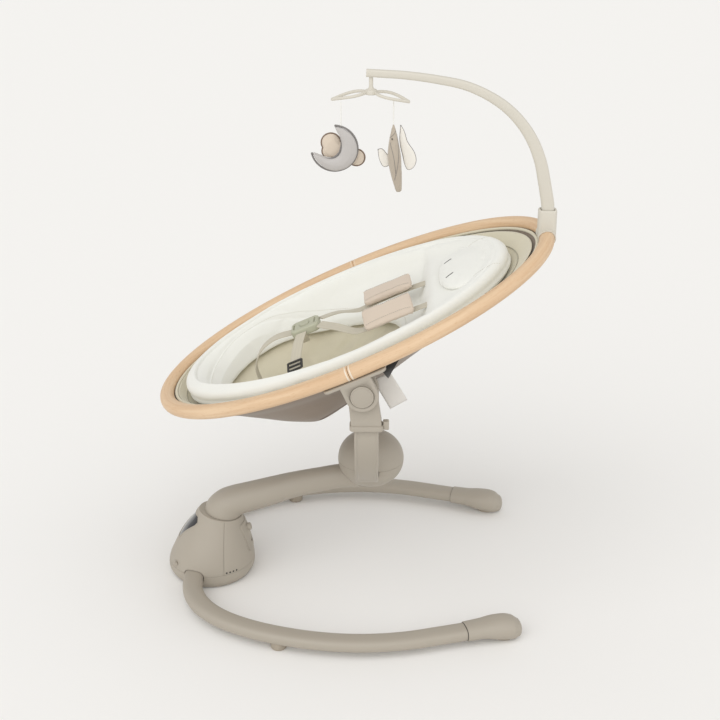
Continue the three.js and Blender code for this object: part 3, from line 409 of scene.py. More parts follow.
def cut_away(piece, point, normal, fill=True):
    """Cuts a piece with a plane and keeps what lies behind it; point is in drawn millimetres."""
    mesh = bmesh.new()
    mesh.from_mesh(piece.data)
    whole = mesh.verts[:] + mesh.edges[:] + mesh.faces[:]
    bmesh.ops.bisect_plane(mesh, geom=whole, plane_co=Vector(metres(point)), plane_no=Vector(normal),
                           clear_outer=True)
    if fill:
        bmesh.ops.holes_fill(mesh, edges=[e for e in mesh.edges if e.is_boundary])
        bmesh.ops.recalc_face_normals(mesh, faces=mesh.faces)
    mesh.to_mesh(piece.data)
    mesh.free()
    return piece


def set_modifiers(piece):
    """Turns a piece and its modifiers into a plain mesh."""
    graph = bpy.context.evaluated_depsgraph_get()
    mesh = bpy.data.meshes.new_from_object(piece.evaluated_get(graph))
    piece.modifiers.clear()
    piece.data = mesh
    return piece


def eased(piece, width_mm, segments=2, angle=40):
    """Rounds a piece's edges that are sharper than an angle, and sets its shading."""
    rounding = piece.modifiers.new("edge", "BEVEL")
    rounding.width = width_mm / 1000
    rounding.segments = segments
    rounding.limit_method = "ANGLE"
    rounding.angle_limit = math.radians(angle)
    set_modifiers(piece)
    piece.data.shade_smooth()
    piece.data.set_sharp_from_angle(angle=SHARP_EDGE)
    return piece


boot_rings = sweep(boot_line, (0, 0, 1), lambda t: spline(boot_sizes, [t])[0][:2], 48, oval(52, 0.9))
boot = skin("left_boot", boot_rings, domes=(0, 9.5))
eased(cut_away(boot, (0, 0, BOOT_SOLE), (0, 0, -1)), 1.0)
pair(boot, "base", "frame_plastic", greige, "foot_boot")
# Black nylon, moulded: nearly matt, never quite black where light grazes it.
dark = moulded("black_nylon", "#34322f", 0.6)
gasket_line = [(end_x - BOOT_SOCKET + step, end_y + (step - BOOT_SOCKET) * inwards, LEG_Z)
               for step in (-0.8, 4)]
gasket = skin("left_boot_gasket", sweep(gasket_line, (0, 0, 1), lambda t: (12.7, 18.7), 4, oval(44, 0.75)))
pair(gasket, "base", "frame_plastic", dark)


def lathe(name, profile, start, along, sides=48, lay=None):
    """A turned piece: (distance along, radius) pairs from a start point, in millimetres."""
    along = np.array(along, float) / np.linalg.norm(along)
    side = np.cross(along, (0, 0, 1) if abs(along[2]) < 0.9 else (1, 0, 0))
    side /= np.linalg.norm(side)
    up = np.cross(along, side)
    ring = oval(sides)
    rings = [np.array(start) + along * d + ring[:, :1] * r * side + ring[:, 1:] * r * up for d, r in profile]
    return skin(name, rings, lay=lay)


# Thermoplastic rubber: fully matt and a shade browner than the legs.
feet = moulded("thermoplastic_rubber", "#a69c8d", 0.75, relief_mm=0.08)
foot_x, foot_y = -137, -0.925 * BASE_HALF_WIDTH
foot = lathe("left_middle_foot", [(0, 11.5), (0.5, 13), (2, 14), (9, 14.2), (9.4, 14.8), (18, 15)],
             (foot_x, foot_y, 0), (0, 0, 1))
pair(foot, "base", "rubber_feet", feet, "mid_foot")
low, high = (np.array(c) * 1000 - (SHIFT, 0, 0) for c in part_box("left_foot_pad"))
pad_middle, pad_half = (low + high) / 2, (high - low) / 2
pad_rings = [np.column_stack([pad_middle[0] + oval(40)[:, 0] * (pad_half[0] + s),
                              pad_middle[1] + oval(40)[:, 1] * (pad_half[1] + s), np.full(40, z)])
             for z, s in ((0, -1.2), (0.4, -0.3), (1.2, 0), (7, 0))]
pair(skin("left_sole_pad", pad_rings), "base", "rubber_feet", feet, "foot_pad")

# ---- Motor housing -------------------------------------------------------------------------------
# A bell of three moulded shells, 3 mm thick: a tray on the floor and a front and a rear half above it. The
# legs plug into its sides, a gloss touch panel is let into its front and a hatch stands proud at its back.
HOUSING_RADIUS, HOUSING_BOTTOM, TRAY_TOP, SEAM_X, WALL = 81, 3, 27, -250, 3
COLLAR = (-255.8, 121.2)
COLLAR_RADIUS = 33
TILT = math.radians(10.5)
tilt_cos, tilt_sin = math.cos(TILT), math.sin(TILT)
axle = (tilt_sin, 0, tilt_cos)


def on_axle(distance):
    """A point on the swing axle, a distance over the seam between housing and arm."""
    return np.array([COLLAR[0] + distance * tilt_sin, 0, COLLAR[1] + distance * tilt_cos])


def rung_rings(rungs, count, outline, grow=0):
    """Rings between a left and a right outline in the swing's middle plane, with a half width."""
    shares = np.linspace(0, 1, count)
    left = spline([(a[0], 0, a[1]) for a, b, half in rungs], shares)
    right = spline([(b[0], 0, b[1]) for a, b, half in rungs], shares)
    half = spline([(half, i, 0) for i, (a, b, half) in enumerate(rungs)], shares)[:, 0]
    middle = (left + right) / 2
    across = left - middle
    length = np.linalg.norm(across, axis=1)[:, None]
    across *= (length + grow) / length
    return np.array([m + outline[:, :1] * a + outline[:, 1:] * (h + grow) * np.array([0, 1, 0])
                     for m, a, h in zip(middle, across, half)])


hx, hr = HOUSING_X, HOUSING_RADIUS
collar_left, collar_right = COLLAR[0] - COLLAR_RADIUS, COLLAR[0] + COLLAR_RADIUS
bell_rungs = [
    ((hx - hr * 0.9, HOUSING_BOTTOM), (hx + hr * 0.92, HOUSING_BOTTOM), hr * 0.94),
    ((hx - hr * 0.98, 14), (hx + hr * 0.99, 13), hr),
    ((hx - hr * 0.97, 28), (hx + hr, 25), hr),
    ((hx - hr * 0.88, 46), (hx + hr * 0.98, 42), hr * 0.95),
    ((hx - hr * 0.76, 66), (hx + hr * 0.93, 62), hr * 0.86),
    ((collar_left - 41, 88), (collar_right + 12, 84), hr * 0.73),
    ((collar_left - 25, 109), (collar_right + 6, 102), COLLAR_RADIUS + 14),
    ((collar_left - 11, 129), (collar_right + 1.5, 116), COLLAR_RADIUS + 4),
    ((collar_left - 6, 137), (collar_right + 0.5, 124), COLLAR_RADIUS + 2)]


def bell(name, grow=0.0, floor=False):
    """The open skin of the bell; grow moves it out."""
    return skin(name, rung_rings(bell_rungs, 56, oval(96), grow), caps=(floor, False),
                domes=(1.2, 0) if floor else (0, 0))


def walled(piece, thickness_mm):
    """Gives an open skin its wall, inwards."""
    wall = piece.modifiers.new("wall", "SOLIDIFY")
    wall.thickness = thickness_mm / 1000
    wall.offset = -1
    return set_modifiers(piece)


def carved(piece, *tools, how="DIFFERENCE"):
    """Cuts, joins or keeps what is common with other solids, which are then removed."""
    for tool in tools:
        step = piece.modifiers.new("carve", "BOOLEAN")
        step.operation = how
        step.solver = "EXACT"
        step.object = tool
        set_modifiers(piece)
        bpy.data.objects.remove(tool)
    return piece


def upright(a, b, height):
    """An outline in plan, raised."""
    return a, b, height


def lengthwise(a, b, height):
    """An outline seen from the front, drawn out along the swing."""
    return height, a, b


def crosswise(a, b, height):
    """An outline seen from the side, drawn out across the swing."""
    return a, height, b


def prism(name, outline, low, high, place=upright, lay=None):
    """An outline extruded from low to high; place gives a point in millimetres."""
    rings = [[place(a, b, height) for a, b in outline] for height in (low, high)]
    return skin(name, rings, lay=lay)


def rounded(half_a, half_b, radius, per_corner=7, middle=(0, 0)):
    """A rectangle with round corners, as points in order."""
    points = []
    for corner, (sa, sb) in enumerate(((1, 1), (-1, 1), (-1, -1), (1, -1))):
        for step in range(per_corner):
            angle = math.pi / 2 * (corner + step / (per_corner - 1))
            points.append((middle[0] + sa * (half_a - radius) + radius * math.cos(angle),
                           middle[1] + sb * (half_b - radius) + radius * math.sin(angle)))
    return points


def panel_tool(name, inset):
    """The space of the panel, seen from the front: broad at the top, drawn in to a round foot."""
    wide, narrow = 30 - inset, 13 - inset
    foot = [(narrow * math.cos(a), 73 + inset - 4.5 * math.sin(a)) for a in np.linspace(0, math.pi, 12)]
    flank = [(-wide, 107), (-wide + 1, 121 - inset), (wide - 1, 121 - inset), (wide, 107)]
    return prism(name, foot + flank, HOUSING_X - 110, HOUSING_X - 20, lengthwise)


def hatch_tool(name, grow):
    """The space of the hatch at the back."""
    outline = rounded(24 + grow, 27.5 + grow, 7, middle=(0, 75.5))
    return prism(name, outline, HOUSING_X + 40, HOUSING_X + 140, lengthwise)


def leg_tools():
    """Both legs with their play, to cut the sockets."""
    tool = skin("left_leg_tool", leg_rings(1.0))
    return tool, mirrored(tool, "right_leg_tool")


tray = cut_away(bell("housing_tray", floor=True), (0, 0, TRAY_TOP), (0, 0, 1), fill=False)
eased(carved(walled(tray, WALL), *leg_tools()), 0.5)
front = cut_away(bell("housing_front"), (0, 0, TRAY_TOP + 0.5), (0, 0, -1), fill=False)
cut_away(front, on_axle(-0.3), axle, fill=False)
rear = linked("housing_rear", front.data.copy())
cut_away(front, (SEAM_X - 0.25, 0, 0), (1, 0, 0), fill=False)
cut_away(rear, (SEAM_X + 0.25, 0, 0), (-1, 0, 0), fill=False)
eased(carved(walled(front, WALL), panel_tool("panel_hole", 0), *leg_tools()), 0.6)
eased(carved(walled(rear, WALL), hatch_tool("hatch_hole", 0.5)), 0.6)
for shell, stands_for in ((tray, "bottom_tray"), (front, "front_shell"), (rear, "rear_shell")):
    fit(shell, "base", "frame_plastic", greige, f"housing_{stands_for}")

# A plate closes the bell's top under the arm, with the upper bush in its middle.
collar_plate = skin("collar_plate", rung_rings(bell_rungs, 56, oval(96), -0.6))
cut_away(cut_away(collar_plate, on_axle(-0.6), axle), on_axle(-3.6), -np.array(axle))
carved(collar_plate, lathe("axle_hole", [(-20, 14.6), (20, 14.6)], on_axle(0), axle))
fit(eased(collar_plate, 0.5), "base", "frame_plastic", greige)

# The touch panel is gloss black acrylic with a slim greige bezel round it.
acrylic = moulded("gloss_acrylic", "#141318", 0.1, relief_mm=0.0, coat=0.6)
panel = carved(walled(bell("touch_panel", -0.5), 2.0), panel_tool("panel_shape", 1.2), how="INTERSECT")
fit(eased(cut_away(panel, on_axle(-1.4), axle), 0.4), "base", "panel_gloss", acrylic, "control_panel")
bezel = carved(walled(bell("panel_bezel", 0.7), 2.4), panel_tool("bezel_shape", -0.8), how="INTERSECT")
carved(bezel, panel_tool("bezel_hole", 1.3))
fit(eased(cut_away(bezel, on_axle(-0.6), axle), 0.3), "base", "frame_plastic", greige)

# Hatch, power button, charging inlet and four vent holes.
hatch = carved(walled(bell("rear_hatch", 1.4), 3.5), hatch_tool("hatch_shape", 0), how="INTERSECT")
fit(eased(cut_away(hatch, on_axle(-2), axle), 0.9, 3), "base", "frame_plastic", greige, "rear_cover")
outwards = np.array([0.96, 0, 0.26])
outwards /= np.linalg.norm(outwards)
knob_at = np.array([COLLAR[0] + COLLAR_RADIUS + 12, 0, 88])
knob = lathe("power_knob", [(-4, 7), (4.8, 7), (6, 6.5), (6.5, 5.6), (6.5, 3.6), (6.1, 3.2)], knob_at,
             outwards)
fit(knob, "power_key", "frame_plastic", greige, "power_button")
inlet_at = np.array([COLLAR[0] + COLLAR_RADIUS + 17, 0, 62])
inlet = lathe("charging_inlet", [(-14, 5), (1.2, 5), (1.5, 4.7), (1.5, 3.1), (-8, 3)], inlet_at, outwards, 32)
fit(inlet, "base", "dark_plastic", dark, "dc_inlet")


def joined(parts, name):
    """Makes one piece of several."""
    with bpy.context.temp_override(active_object=parts[0], selected_editable_objects=parts):
        bpy.ops.object.join()
    parts[0].name = name
    return parts[0]


vents = []
for angle in np.radians((-63.6, -58.8, -53.9, -49.0)):
    away = np.array([math.cos(angle), math.sin(angle), 0])
    mouth = (hx, 0, 31) + (hr - 0.6) * away
    vents.append(lathe("vent", [(-1, 1.7), (0.75, 1.7), (0.8, 1.5)], mouth, away, 16))
fit(joined(vents, "vent_holes"), "base", "dark_plastic", dark)

# ---- Swing arm and hub ---------------------------------------------------------------------------
# The arm is a steel tube in one greige moulding that turns on the housing's collar and runs up to the hub,
# a round two-part cover that clamps the arm and the yoke.
ARM_END = 21.5
HUB = np.array([20, 0, 237])
HUB_RADII = np.array([60, 59, 51])
arm_low = (COLLAR[0] + COLLAR_RADIUS * tilt_cos, COLLAR[1] - COLLAR_RADIUS * tilt_sin)
arm_high = (COLLAR[0] - COLLAR_RADIUS * tilt_cos, COLLAR[1] + COLLAR_RADIUS * tilt_sin)
end_z = HUB[2] - 38
arm_rungs = [((arm_low[0] + a, arm_low[1] + b), (arm_high[0] + c, arm_high[1] + d), half)
             for a, b, c, d, half in ((0, -4, -1, -4, 33), (1, 1, 1, 8, 33), (3, 3, 9, 21, 32.5),
                                      (6, 5, 27, 36, 31.5), (13, 7.5, 50, 45, 30),
                                      (27, 12, 77, 52.5, 28))] + [
    ((-156, 141), (-166, 192), ARM_END + 5), ((-118, 155.5), (-128, 202), ARM_END + 2),
    ((-70, end_z - 31), (-76, 213), ARM_END),
    ((HUB[0] - 55, end_z - ARM_END - 1.5), (HUB[0] - 59, end_z + ARM_END - 0.5), ARM_END),
    ((HUB[0] - 22, end_z - ARM_END), (HUB[0] - 24, end_z + ARM_END + 1), ARM_END)]


def arm_skin(name, grow=0.0):
    """The arm's moulding, from the collar to the middle of the hub."""
    return skin(name, rung_rings(arm_rungs, 84, oval(64), grow))


arm = eased(cut_away(arm_skin("swing_arm_skin"), on_axle(0.5), -np.array(axle)), 1.0, 3)
fit(arm, "swing_arm", "frame_plastic", greige, "swing_arm_tube")
ring_radius = COLLAR_RADIUS - 1.2
collar_ring = lathe("collar_shadow_ring", [(-0.35, 18), (-0.35, ring_radius), (0.9, ring_radius), (0.9, 18)],
                    on_axle(0), axle, 72)
fit(collar_ring, "swing_arm", "dark_plastic", dark)


def ball(name, shrink=0.0):
    """The hub's cover: a round body with its crown and cheeks slightly flattened."""
    rings = []
    for height in np.linspace(-0.985, 0.985, 44):
        z = math.sin(height * math.pi / 2)
        r = math.cos(height * math.pi / 2) ** 0.92
        ring = oval(80, 0.97) * r
        rings.append(np.column_stack([HUB[0] + ring[:, 0] * (HUB_RADII[0] - shrink),
                                      ring[:, 1] * (HUB_RADII[1] - shrink),
                                      np.full(80, HUB[2] + z * (HUB_RADII[2] - shrink))]))
    return skin(name, rings)


YOKE_HALF, YOKE_THICK, YOKE_X, YOKE_BORDER = 20, 7, 14, 3.4
POST_Y = -231
POST_BOTTOM, POST_SOCKET = 414, 38
yoke_rise = POST_BOTTOM - HUB[2]
yoke_path = [(YOKE_X, POST_Y * a, z) for a, z in (
    (0.08, HUB[2] - 9), (0.3, HUB[2]), (0.57, HUB[2] + yoke_rise * 0.17), (0.82, HUB[2] + yoke_rise * 0.44),
    (0.955, HUB[2] + yoke_rise * 0.7), (1, POST_BOTTOM - 22), (1, POST_BOTTOM),
    (1, POST_BOTTOM + POST_SOCKET))]


def strap_section(share, recess=0.0):
    """The yoke's section, a rounded slab; its outer face is sunk between two raised borders."""
    corners = np.array(rounded(YOKE_HALF, YOKE_THICK, 3.2, 9), float)
    points = []
    for a, b in zip(corners, np.roll(corners, -1, axis=0)):
        parts = max(1, int(np.linalg.norm(b - a) / 2.2))
        points += [a + (b - a) * k / parts for k in range(parts)]
    points = np.array(points)
    fade = np.clip((share - 0.3) / 0.03, 0, 1)
    inside = np.clip((YOKE_HALF - YOKE_BORDER - np.abs(points[:, 0])) / 1.2, 0, 1)
    outer = points[:, 1] < 0.5 - YOKE_THICK
    points[:, 1] += recess * fade * inside * outer
    return points


def yoke_rings(grow, recess):
    """The near yoke arm's rings, from the hub to the tip that plugs into the post."""
    return sweep(yoke_path, (1, 0, 0), lambda t: (1 + grow / YOKE_HALF, 1 + grow / YOKE_THICK), 110,
                 lambda t: strap_section(t, recess))


HUB_SEAM, HUB_PLAY = 0.25, 0.7
for level, above in (("upper", 1), ("lower", -1)):
    half = cut_away(ball(f"hub_{level}_cover"), HUB + (0, 0, above * HUB_SEAM), (0, 0, -above))
    strap_tool = skin("strap_tool", yoke_rings(HUB_PLAY, 0))
    carved(half, arm_skin("arm_tool", HUB_PLAY), mirrored(strap_tool, "strap_tool_twin"), strap_tool)
    fit(eased(half, 0.6), "swing_arm", "frame_plastic", greige, f"hub_{level}_shell")

# ---- Yoke and seat posts -------------------------------------------------------------------------
# Two flat moulded arms curve up from the hub; their tips plug into the seat's posts, which lock on them
# with a release button and carry the recline pivots.
strap = skin("left_yoke_strap", yoke_rings(0, 1.6), domes=(0, 3))
pair(strap, "swing_arm", "frame_plastic", greige, "yoke_arm")
RECLINE = np.array([7, 0, 481])
POST_HALF = (YOKE_HALF + 4.4, YOKE_THICK + 3.4)


def hull_outline(points):
    """The convex outline round points, in order."""
    return [points[i] for i in geometry.convex_hull_2d([Vector(p) for p in points])]


def circle(radius, middle=(0, 0), count=72):
    """Points round a circle."""
    return [(middle[0] + radius * math.cos(a), middle[1] + radius * math.sin(a))
            for a in np.linspace(0, 2 * math.pi, count, endpoint=False)]


stem = [(YOKE_X + s * POST_HALF[0], z) for s in (-1, 1) for z in (POST_BOTTOM + 2, POST_BOTTOM + 16)]
post_outline = hull_outline(circle(POST_HALF[0] - 1, (RECLINE[0], RECLINE[2])) + stem)
post = prism("left_post", post_outline, POST_Y - POST_HALF[1], POST_Y + POST_HALF[1], crosswise)
eased(post, 2.6, 4, 50)
lip = prism("lip", rounded(POST_HALF[0] + 3, POST_HALF[1] + 3, 6, middle=(YOKE_X, POST_Y)), POST_BOTTOM,
            POST_BOTTOM + 9)
carved(post, eased(lip, 1.6, 3), how="UNION")
socket_tool = prism("socket_tool", rounded(YOKE_HALF + 0.5, YOKE_THICK + 0.5, 3.5, middle=(YOKE_X, POST_Y)),
                    POST_BOTTOM - 5, POST_BOTTOM + POST_SOCKET + 1)
button_face, key_middle = YOKE_X + POST_HALF[0] + 3, (POST_Y, POST_BOTTOM + 7.6)
pocket_tool = prism("pocket_tool", rounded(6.5, 8.2, 2.4, middle=key_middle), button_face - 3.9,
                    button_face + 9, lengthwise)
eased(carved(post, socket_tool, pocket_tool), 0.3)
pair(post, "seat_posts", "frame_plastic", greige, "seat_post")
release = prism("left_release", rounded(6, 7.5, 2.2, middle=key_middle), button_face - 0.4, button_face + 9.2,
                lengthwise)
pair(eased(release, 1.4, 3), "SIDE_release_key", "frame_plastic", greige, "release_button")

# ---- Rim and hinge covers ------------------------------------------------------------------------
# The seat's rim is two bent tubes wrapped in a beech-look film, meeting at the seat's sides. A moulded cover
# under each side holds the recline pivot between two cheeks, with a round recline button in the outer one.
SEAT_TILT = math.radians(24.24)
seat_cos, seat_sin = math.cos(SEAT_TILT), math.sin(SEAT_TILT)


def seat(points):
    """From the seat's own frame, x to the head and z out of the seat, to the drawing."""
    points = np.array(points, float)
    x, z = points[..., 0], points[..., 2]
    return np.stack([RECLINE[0] + x * seat_cos - z * seat_sin, points[..., 1],
                     RECLINE[2] + x * seat_sin + z * seat_cos], axis=-1)


def beech(name, light, dark_code, grain_mm=2.2, run_mm=160):
    """Printed beech film: long soft grain along the tube, with short darker flecks, satin lacquer."""
    material, tree = blank(name)
    flat = node(tree, "ShaderNodeUVMap", uv_map="along").outputs["UV"]
    stretched = node(tree, "ShaderNodeMapping", {"Vector": flat,
                                                 "Scale": (1000 / run_mm, 1000 / grain_mm / 4, 1)})
    grain = node(tree, "ShaderNodeTexNoise", {"Vector": stretched.outputs[0], "Scale": 1.0, "Detail": 5.0,
                                             "Roughness": 0.6, "Distortion": 0.6}).outputs["Fac"]
    fleck_place = node(tree, "ShaderNodeMapping", {"Vector": flat, "Scale": (1000 / 9, 1000 / 1.2, 1)})
    flecks = node(tree, "ShaderNodeTexNoise", {"Vector": fleck_place.outputs[0], "Scale": 1.0, "Detail": 2.0})
    fleck = node(tree, "ShaderNodeMapRange", {"Value": flecks.outputs["Fac"], "From Min": 0.58,
                                              "From Max": 0.75, "To Min": 0.0, "To Max": 0.3}).outputs[0]
    mixed = node(tree, "ShaderNodeMath", {0: grain, 1: fleck}, operation="ADD", use_clamp=True).outputs[0]
    spread = node(tree, "ShaderNodeMapRange", {"Value": mixed, "From Min": 0.3, "From Max": 0.75}).outputs[0]
    tone = node(tree, "ShaderNodeMix", {"Factor": spread, 6: hex_colour(light), 7: hex_colour(dark_code)},
                data_type="RGBA")
    bump = node(tree, "ShaderNodeBump", {"Height": mixed, "Strength": 0.2, "Distance": 0.00008})
    surface(tree, {"Base Color": tone.outputs[2], "Roughness": 0.46, "Normal": bump.outputs["Normal"]})
    return material


beech_film = beech("beech_film", "#e2c6a4", "#cfab85")
RIM_HALF_LENGTH, RIM_HALF_WIDTH, RIM_X, RIM_Z = 362, 243, -3, 43
RIM_HALF = (12, 13)


def rim_arc(side, ends=0.0, count=60):
    """Half of the rim's oval centre line in the seat's frame; side 1 is the head half."""
    angles = np.linspace(-math.pi / 2 + ends, math.pi / 2 - ends, count)
    return [(RIM_X + side * RIM_HALF_LENGTH * math.cos(a) + side * 0.15, RIM_HALF_WIDTH * math.sin(a), RIM_Z)
            for a in angles]


def round_rim(name, path, grow, count=190, sides=40):
    """A sleeve on the rim's own section, a little proud of it."""
    size = (RIM_HALF[0] + grow, RIM_HALF[1] + grow)
    return skin(name, sweep(path, (0, 0, 1), lambda t: size, count, oval(sides, 0.92)), lay=seat)


for side, part in ((1, "head"), (-1, "foot")):
    half = eased(round_rim(f"rim_{part}_tube", rim_arc(side, ends=0.0006), 0), 0.7, 3, 60)
    fit(half, "seat", "wood_look", beech_film, f"rim_{part}_half")
# Pale polypropylene bands over the film's two joints: a thin light line on each side.
joint_plastic = moulded("pale_seam_sleeve", "#e6d9c6", 0.5)
BAND_AT, BAND_WIDTH = 3.6, 1.44
for y_side, side in ((-1, "left"), (1, "right")):
    for k, middle_x in enumerate((RIM_X - BAND_AT, RIM_X + BAND_AT)):
        path = [(middle_x + dx, y_side * (RIM_HALF_WIDTH - dx * dx / 28), RIM_Z)
                for dx in np.linspace(-BAND_WIDTH / 2, BAND_WIDTH / 2, 4)]
        band = round_rim(f"rim_seam_band_{side}_{k}", path, 0.25, 6)
        fit(band, "seat", "wood_look", joint_plastic)

OUTER_Y, INNER_Y = POST_Y - POST_HALF[1] - 0.4, POST_Y + POST_HALF[1] + 0.4
FLANGE_TOP = RIM_Z - RIM_HALF[0] - 0.4
CHEEK_RADIUS = POST_HALF[0] + 2.5
cheek_outline = hull_outline(circle(CHEEK_RADIUS) + [(s * CHEEK_RADIUS, FLANGE_TOP - b) for s in (-1, 1)
                                                     for b in (6, 1)])
OUTER_CHEEK, INNER_CHEEK = 12, 8
ACROSS = (0, 1, 0)
outer_cheek = prism("left_hinge_outer_cheek", cheek_outline, OUTER_Y - OUTER_CHEEK, OUTER_Y, crosswise,
                    lay=seat)
eased(outer_cheek, 2.2, 4, 50)
carved(outer_cheek, lathe("button_hole", [(0, 19.7), (30, 19.7)], (0, OUTER_Y - 25, 0), ACROSS, 64, lay=seat))
floor_disc = lathe("left_button_floor", [(0, 19.9), (1, 19.9)], (0, OUTER_Y - 1.2, 0), ACROSS, 64, lay=seat)
pair(outer_cheek, "seat", "frame_plastic", greige, "hinge_cover")
pair(floor_disc, "seat", "dark_plastic", dark)
inner_cheek = prism("left_hinge_inner_cheek", cheek_outline, INNER_Y, INNER_Y + INNER_CHEEK, crosswise,
                    lay=seat)
pair(eased(inner_cheek, 2.0, 3, 50), "seat", "frame_plastic", greige)
flange_sides = (OUTER_Y - OUTER_CHEEK, INNER_Y + INNER_CHEEK)
flange = prism("left_hinge_flange", rounded(54, (flange_sides[1] - flange_sides[0]) / 2, 9,
                                            middle=(0, sum(flange_sides) / 2)),
               FLANGE_TOP - 4.4, FLANGE_TOP + 0.2, lay=seat)
pair(eased(flange, 1.1, 3), "seat", "frame_plastic", greige)
KNOB_FACE = OUTER_Y - OUTER_CHEEK - 1.5
button = lathe("left_recline_knob", [(7.9, 19), (1.4, 19), (0.4, 18.5), (0.0, 17.6), (0.0, 16.9), (0.5, 16.3),
                                     (0.3, 15.2), (-0.5, 9), (-0.8, 4), (-0.9, 1)],
               (0, KNOB_FACE, 0), ACROSS, 72, lay=seat)
pair(button, "SIDE_recline_key", "frame_plastic", greige, "recline_button")
pin = lathe("left_recline_pin", [(0, 7), (22, 7)], (0, OUTER_Y + 0.2, 0), ACROSS, 32, lay=seat)
# Ground steel: grey, with a short soft gleam.
ground = moulded("ground_steel", "#9b9c9e", 0.35, 0.6, 0.02)
pair(pin, "seat", "steel", ground)

# ---- Seat shell and liner ------------------------------------------------------------------------
# A taupe woven bag hangs from the rim and is drawn in to a small stiff floor; a sage liner lies inside it,
# stretched tight round the rim and gathered in loose folds in the well.
SHELL_TOP = RIM_Z - 1
INNER_LENGTH, INNER_WIDTH = RIM_HALF_LENGTH - RIM_HALF[1] - 2, RIM_HALF_WIDTH - RIM_HALF[1] - 2
SHELL_LEVELS = [(24, -1, 1.06, 1.03), (0, -1, 1, 1), (-27, -0.945, 0.83, 0.9), (-50, -0.825, 0.56, 0.78),
                (-75, -0.7, 0.3, 0.68), (-97, -0.59, 0.08, 0.59), (-114, -0.48, -0.12, 0.49),
                (-120, -0.42, -0.22, 0.41)]


def bowl_rungs(inset):
    """The bag's outline at each level, moved in by an inset."""
    return [((RIM_X + foot * INNER_LENGTH + inset, SHELL_TOP + depth + inset),
             (RIM_X + head * INNER_LENGTH - inset, SHELL_TOP + depth + inset), half * INNER_WIDTH - inset)
            for depth, foot, head, half in SHELL_LEVELS]


def bowl_rings(inset, count=80):
    """The bowl's rings from its rim down, in the seat's frame, cut level at its top, closed at the floor."""
    rings = rung_rings(bowl_rungs(inset), 400, oval(144))
    first = int(np.argmax(rings[:, :, 2].mean(axis=1) <= SHELL_TOP))
    keep = rings[np.linspace(first, len(rings) - 1, count).astype(int)]
    middle = keep[-1].mean(axis=0)
    inner = [middle + (keep[-1] - middle) * share for share in (0.96, 0.88, 0.7, 0.5, 0.3, 0.12)]
    return np.vstack([keep, np.array(inner)])


def creased(rings, amount, seed, folds):
    """Moves rings in and out in soft running folds."""
    random = np.random.default_rng(seed)
    count, sides = rings.shape[:2]
    v = np.linspace(0, 1, count)[:, None]
    angle = np.linspace(0, 2 * math.pi, sides, endpoint=False)[None, :]
    push = np.zeros((count, sides))
    for number, strength, lean in folds:
        phase, wander = random.uniform(0, 2 * math.pi, 2)
        push += strength * np.sin(number * angle + lean * v * 6 + phase + 0.8 * np.sin(3 * angle + wander))
    middle = rings.mean(axis=1, keepdims=True)
    away = rings - middle
    away /= np.maximum(np.linalg.norm(away, axis=2, keepdims=True), 1e-6)
    return rings + away * (push * amount(v))[:, :, None]


# Taupe polyester weave: matt and knobbly, dyed unevenly.
taupe = cloth("taupe_polyester", "#8a7c6e", 1.7, 0.2, 0.3, 0.1)


def slackness(v):
    """The shell's folds fade out towards the rim and the stiff floor."""
    return -1.6 * np.clip((v - 0.08) / 0.3, 0, 1) * np.clip((1.02 - v) * 6, 0, 1)


SHELL_INSET, LINER_INSET = 0.6, 5.0
shell_rings = creased(bowl_rings(SHELL_INSET), slackness, 4, [(3, 0.5, 0.4), (7, 0.35, -0.8), (11, 0.2, 1.1)])
shell_bag = walled(skin("shell_bag", shell_rings, caps=(False, True), lay=seat), 1.4)
fit(shell_bag, "seat", "shell_fabric", taupe, "seat_shell")

# Sage liner weave: finer than the shell's, with a soft bloom where it turns away.
sage = cloth("sage_liner_weave", "#d6cfb9", 1.5, 0.18, 0.3, 0.07)


def fold_depth(v):
    """The liner is tight at the rim and loose in the well."""
    return -6.5 * np.clip((v - 0.3) / 0.3, 0, 1) ** 1.3


liner_rings = creased(bowl_rings(LINER_INSET), fold_depth, 9,
                      [(4, 0.7, 0.5), (7, 0.6, -0.9), (11, 0.45, 1.4), (17, 0.25, -2.0)])
LINER_RISE = 6.0
liner_rings[:, :, 2] += np.clip((np.linspace(0, 1, len(liner_rings)) - 0.5) * 2, 0, 1)[:, None] * LINER_RISE
liner_bag = walled(skin("liner_bag", liner_rings, caps=(False, True), lay=seat), 1.2)
fit(liner_bag, "seat", "liner_fabric", sage, "seat_liner")


def ring_cord(name, path, radius, material, slot, body="seat", closed=True, lay=seat, sideways=(0, 0, 1)):
    """A piping or a seam: a thin round tube along a path."""
    rings = sweep(path, sideways, lambda t: (radius, radius), 260, oval(12), closed=closed)
    return fit(skin(name, rings, closed=closed, lay=lay), body, slot, material)


def laid_on(piece, points, along=(0, 0, -1), lift_mm=0.3, lay=seat):
    """Drops a path of points, given in a frame laid by lay, on to a piece's surface; gives drawn points."""
    tree = BVHTree.FromObject(piece, bpy.context.evaluated_depsgraph_get())
    origin, ahead = metres(lay([(0, 0, 0)]))[0], metres(lay([along]))[0]
    away = Vector(ahead - origin).normalized()
    found = []
    for point in metres(lay(points)):
        hit = tree.ray_cast(Vector(point) - away * 0.3, away)[0]
        if hit is not None:
            found.append(tuple((np.array(hit) - np.array(away) * lift_mm / 1000) * 1000 - (SHIFT, 0, 0)))
    return found


def inside_rim(inset, z):
    """An oval path inside the rim, in the seat's frame."""
    return [(RIM_X + (INNER_LENGTH - inset) * math.cos(a), (INNER_WIDTH - inset) * math.sin(a), z)
            for a in np.linspace(0, 2 * math.pi, 72, endpoint=False)]
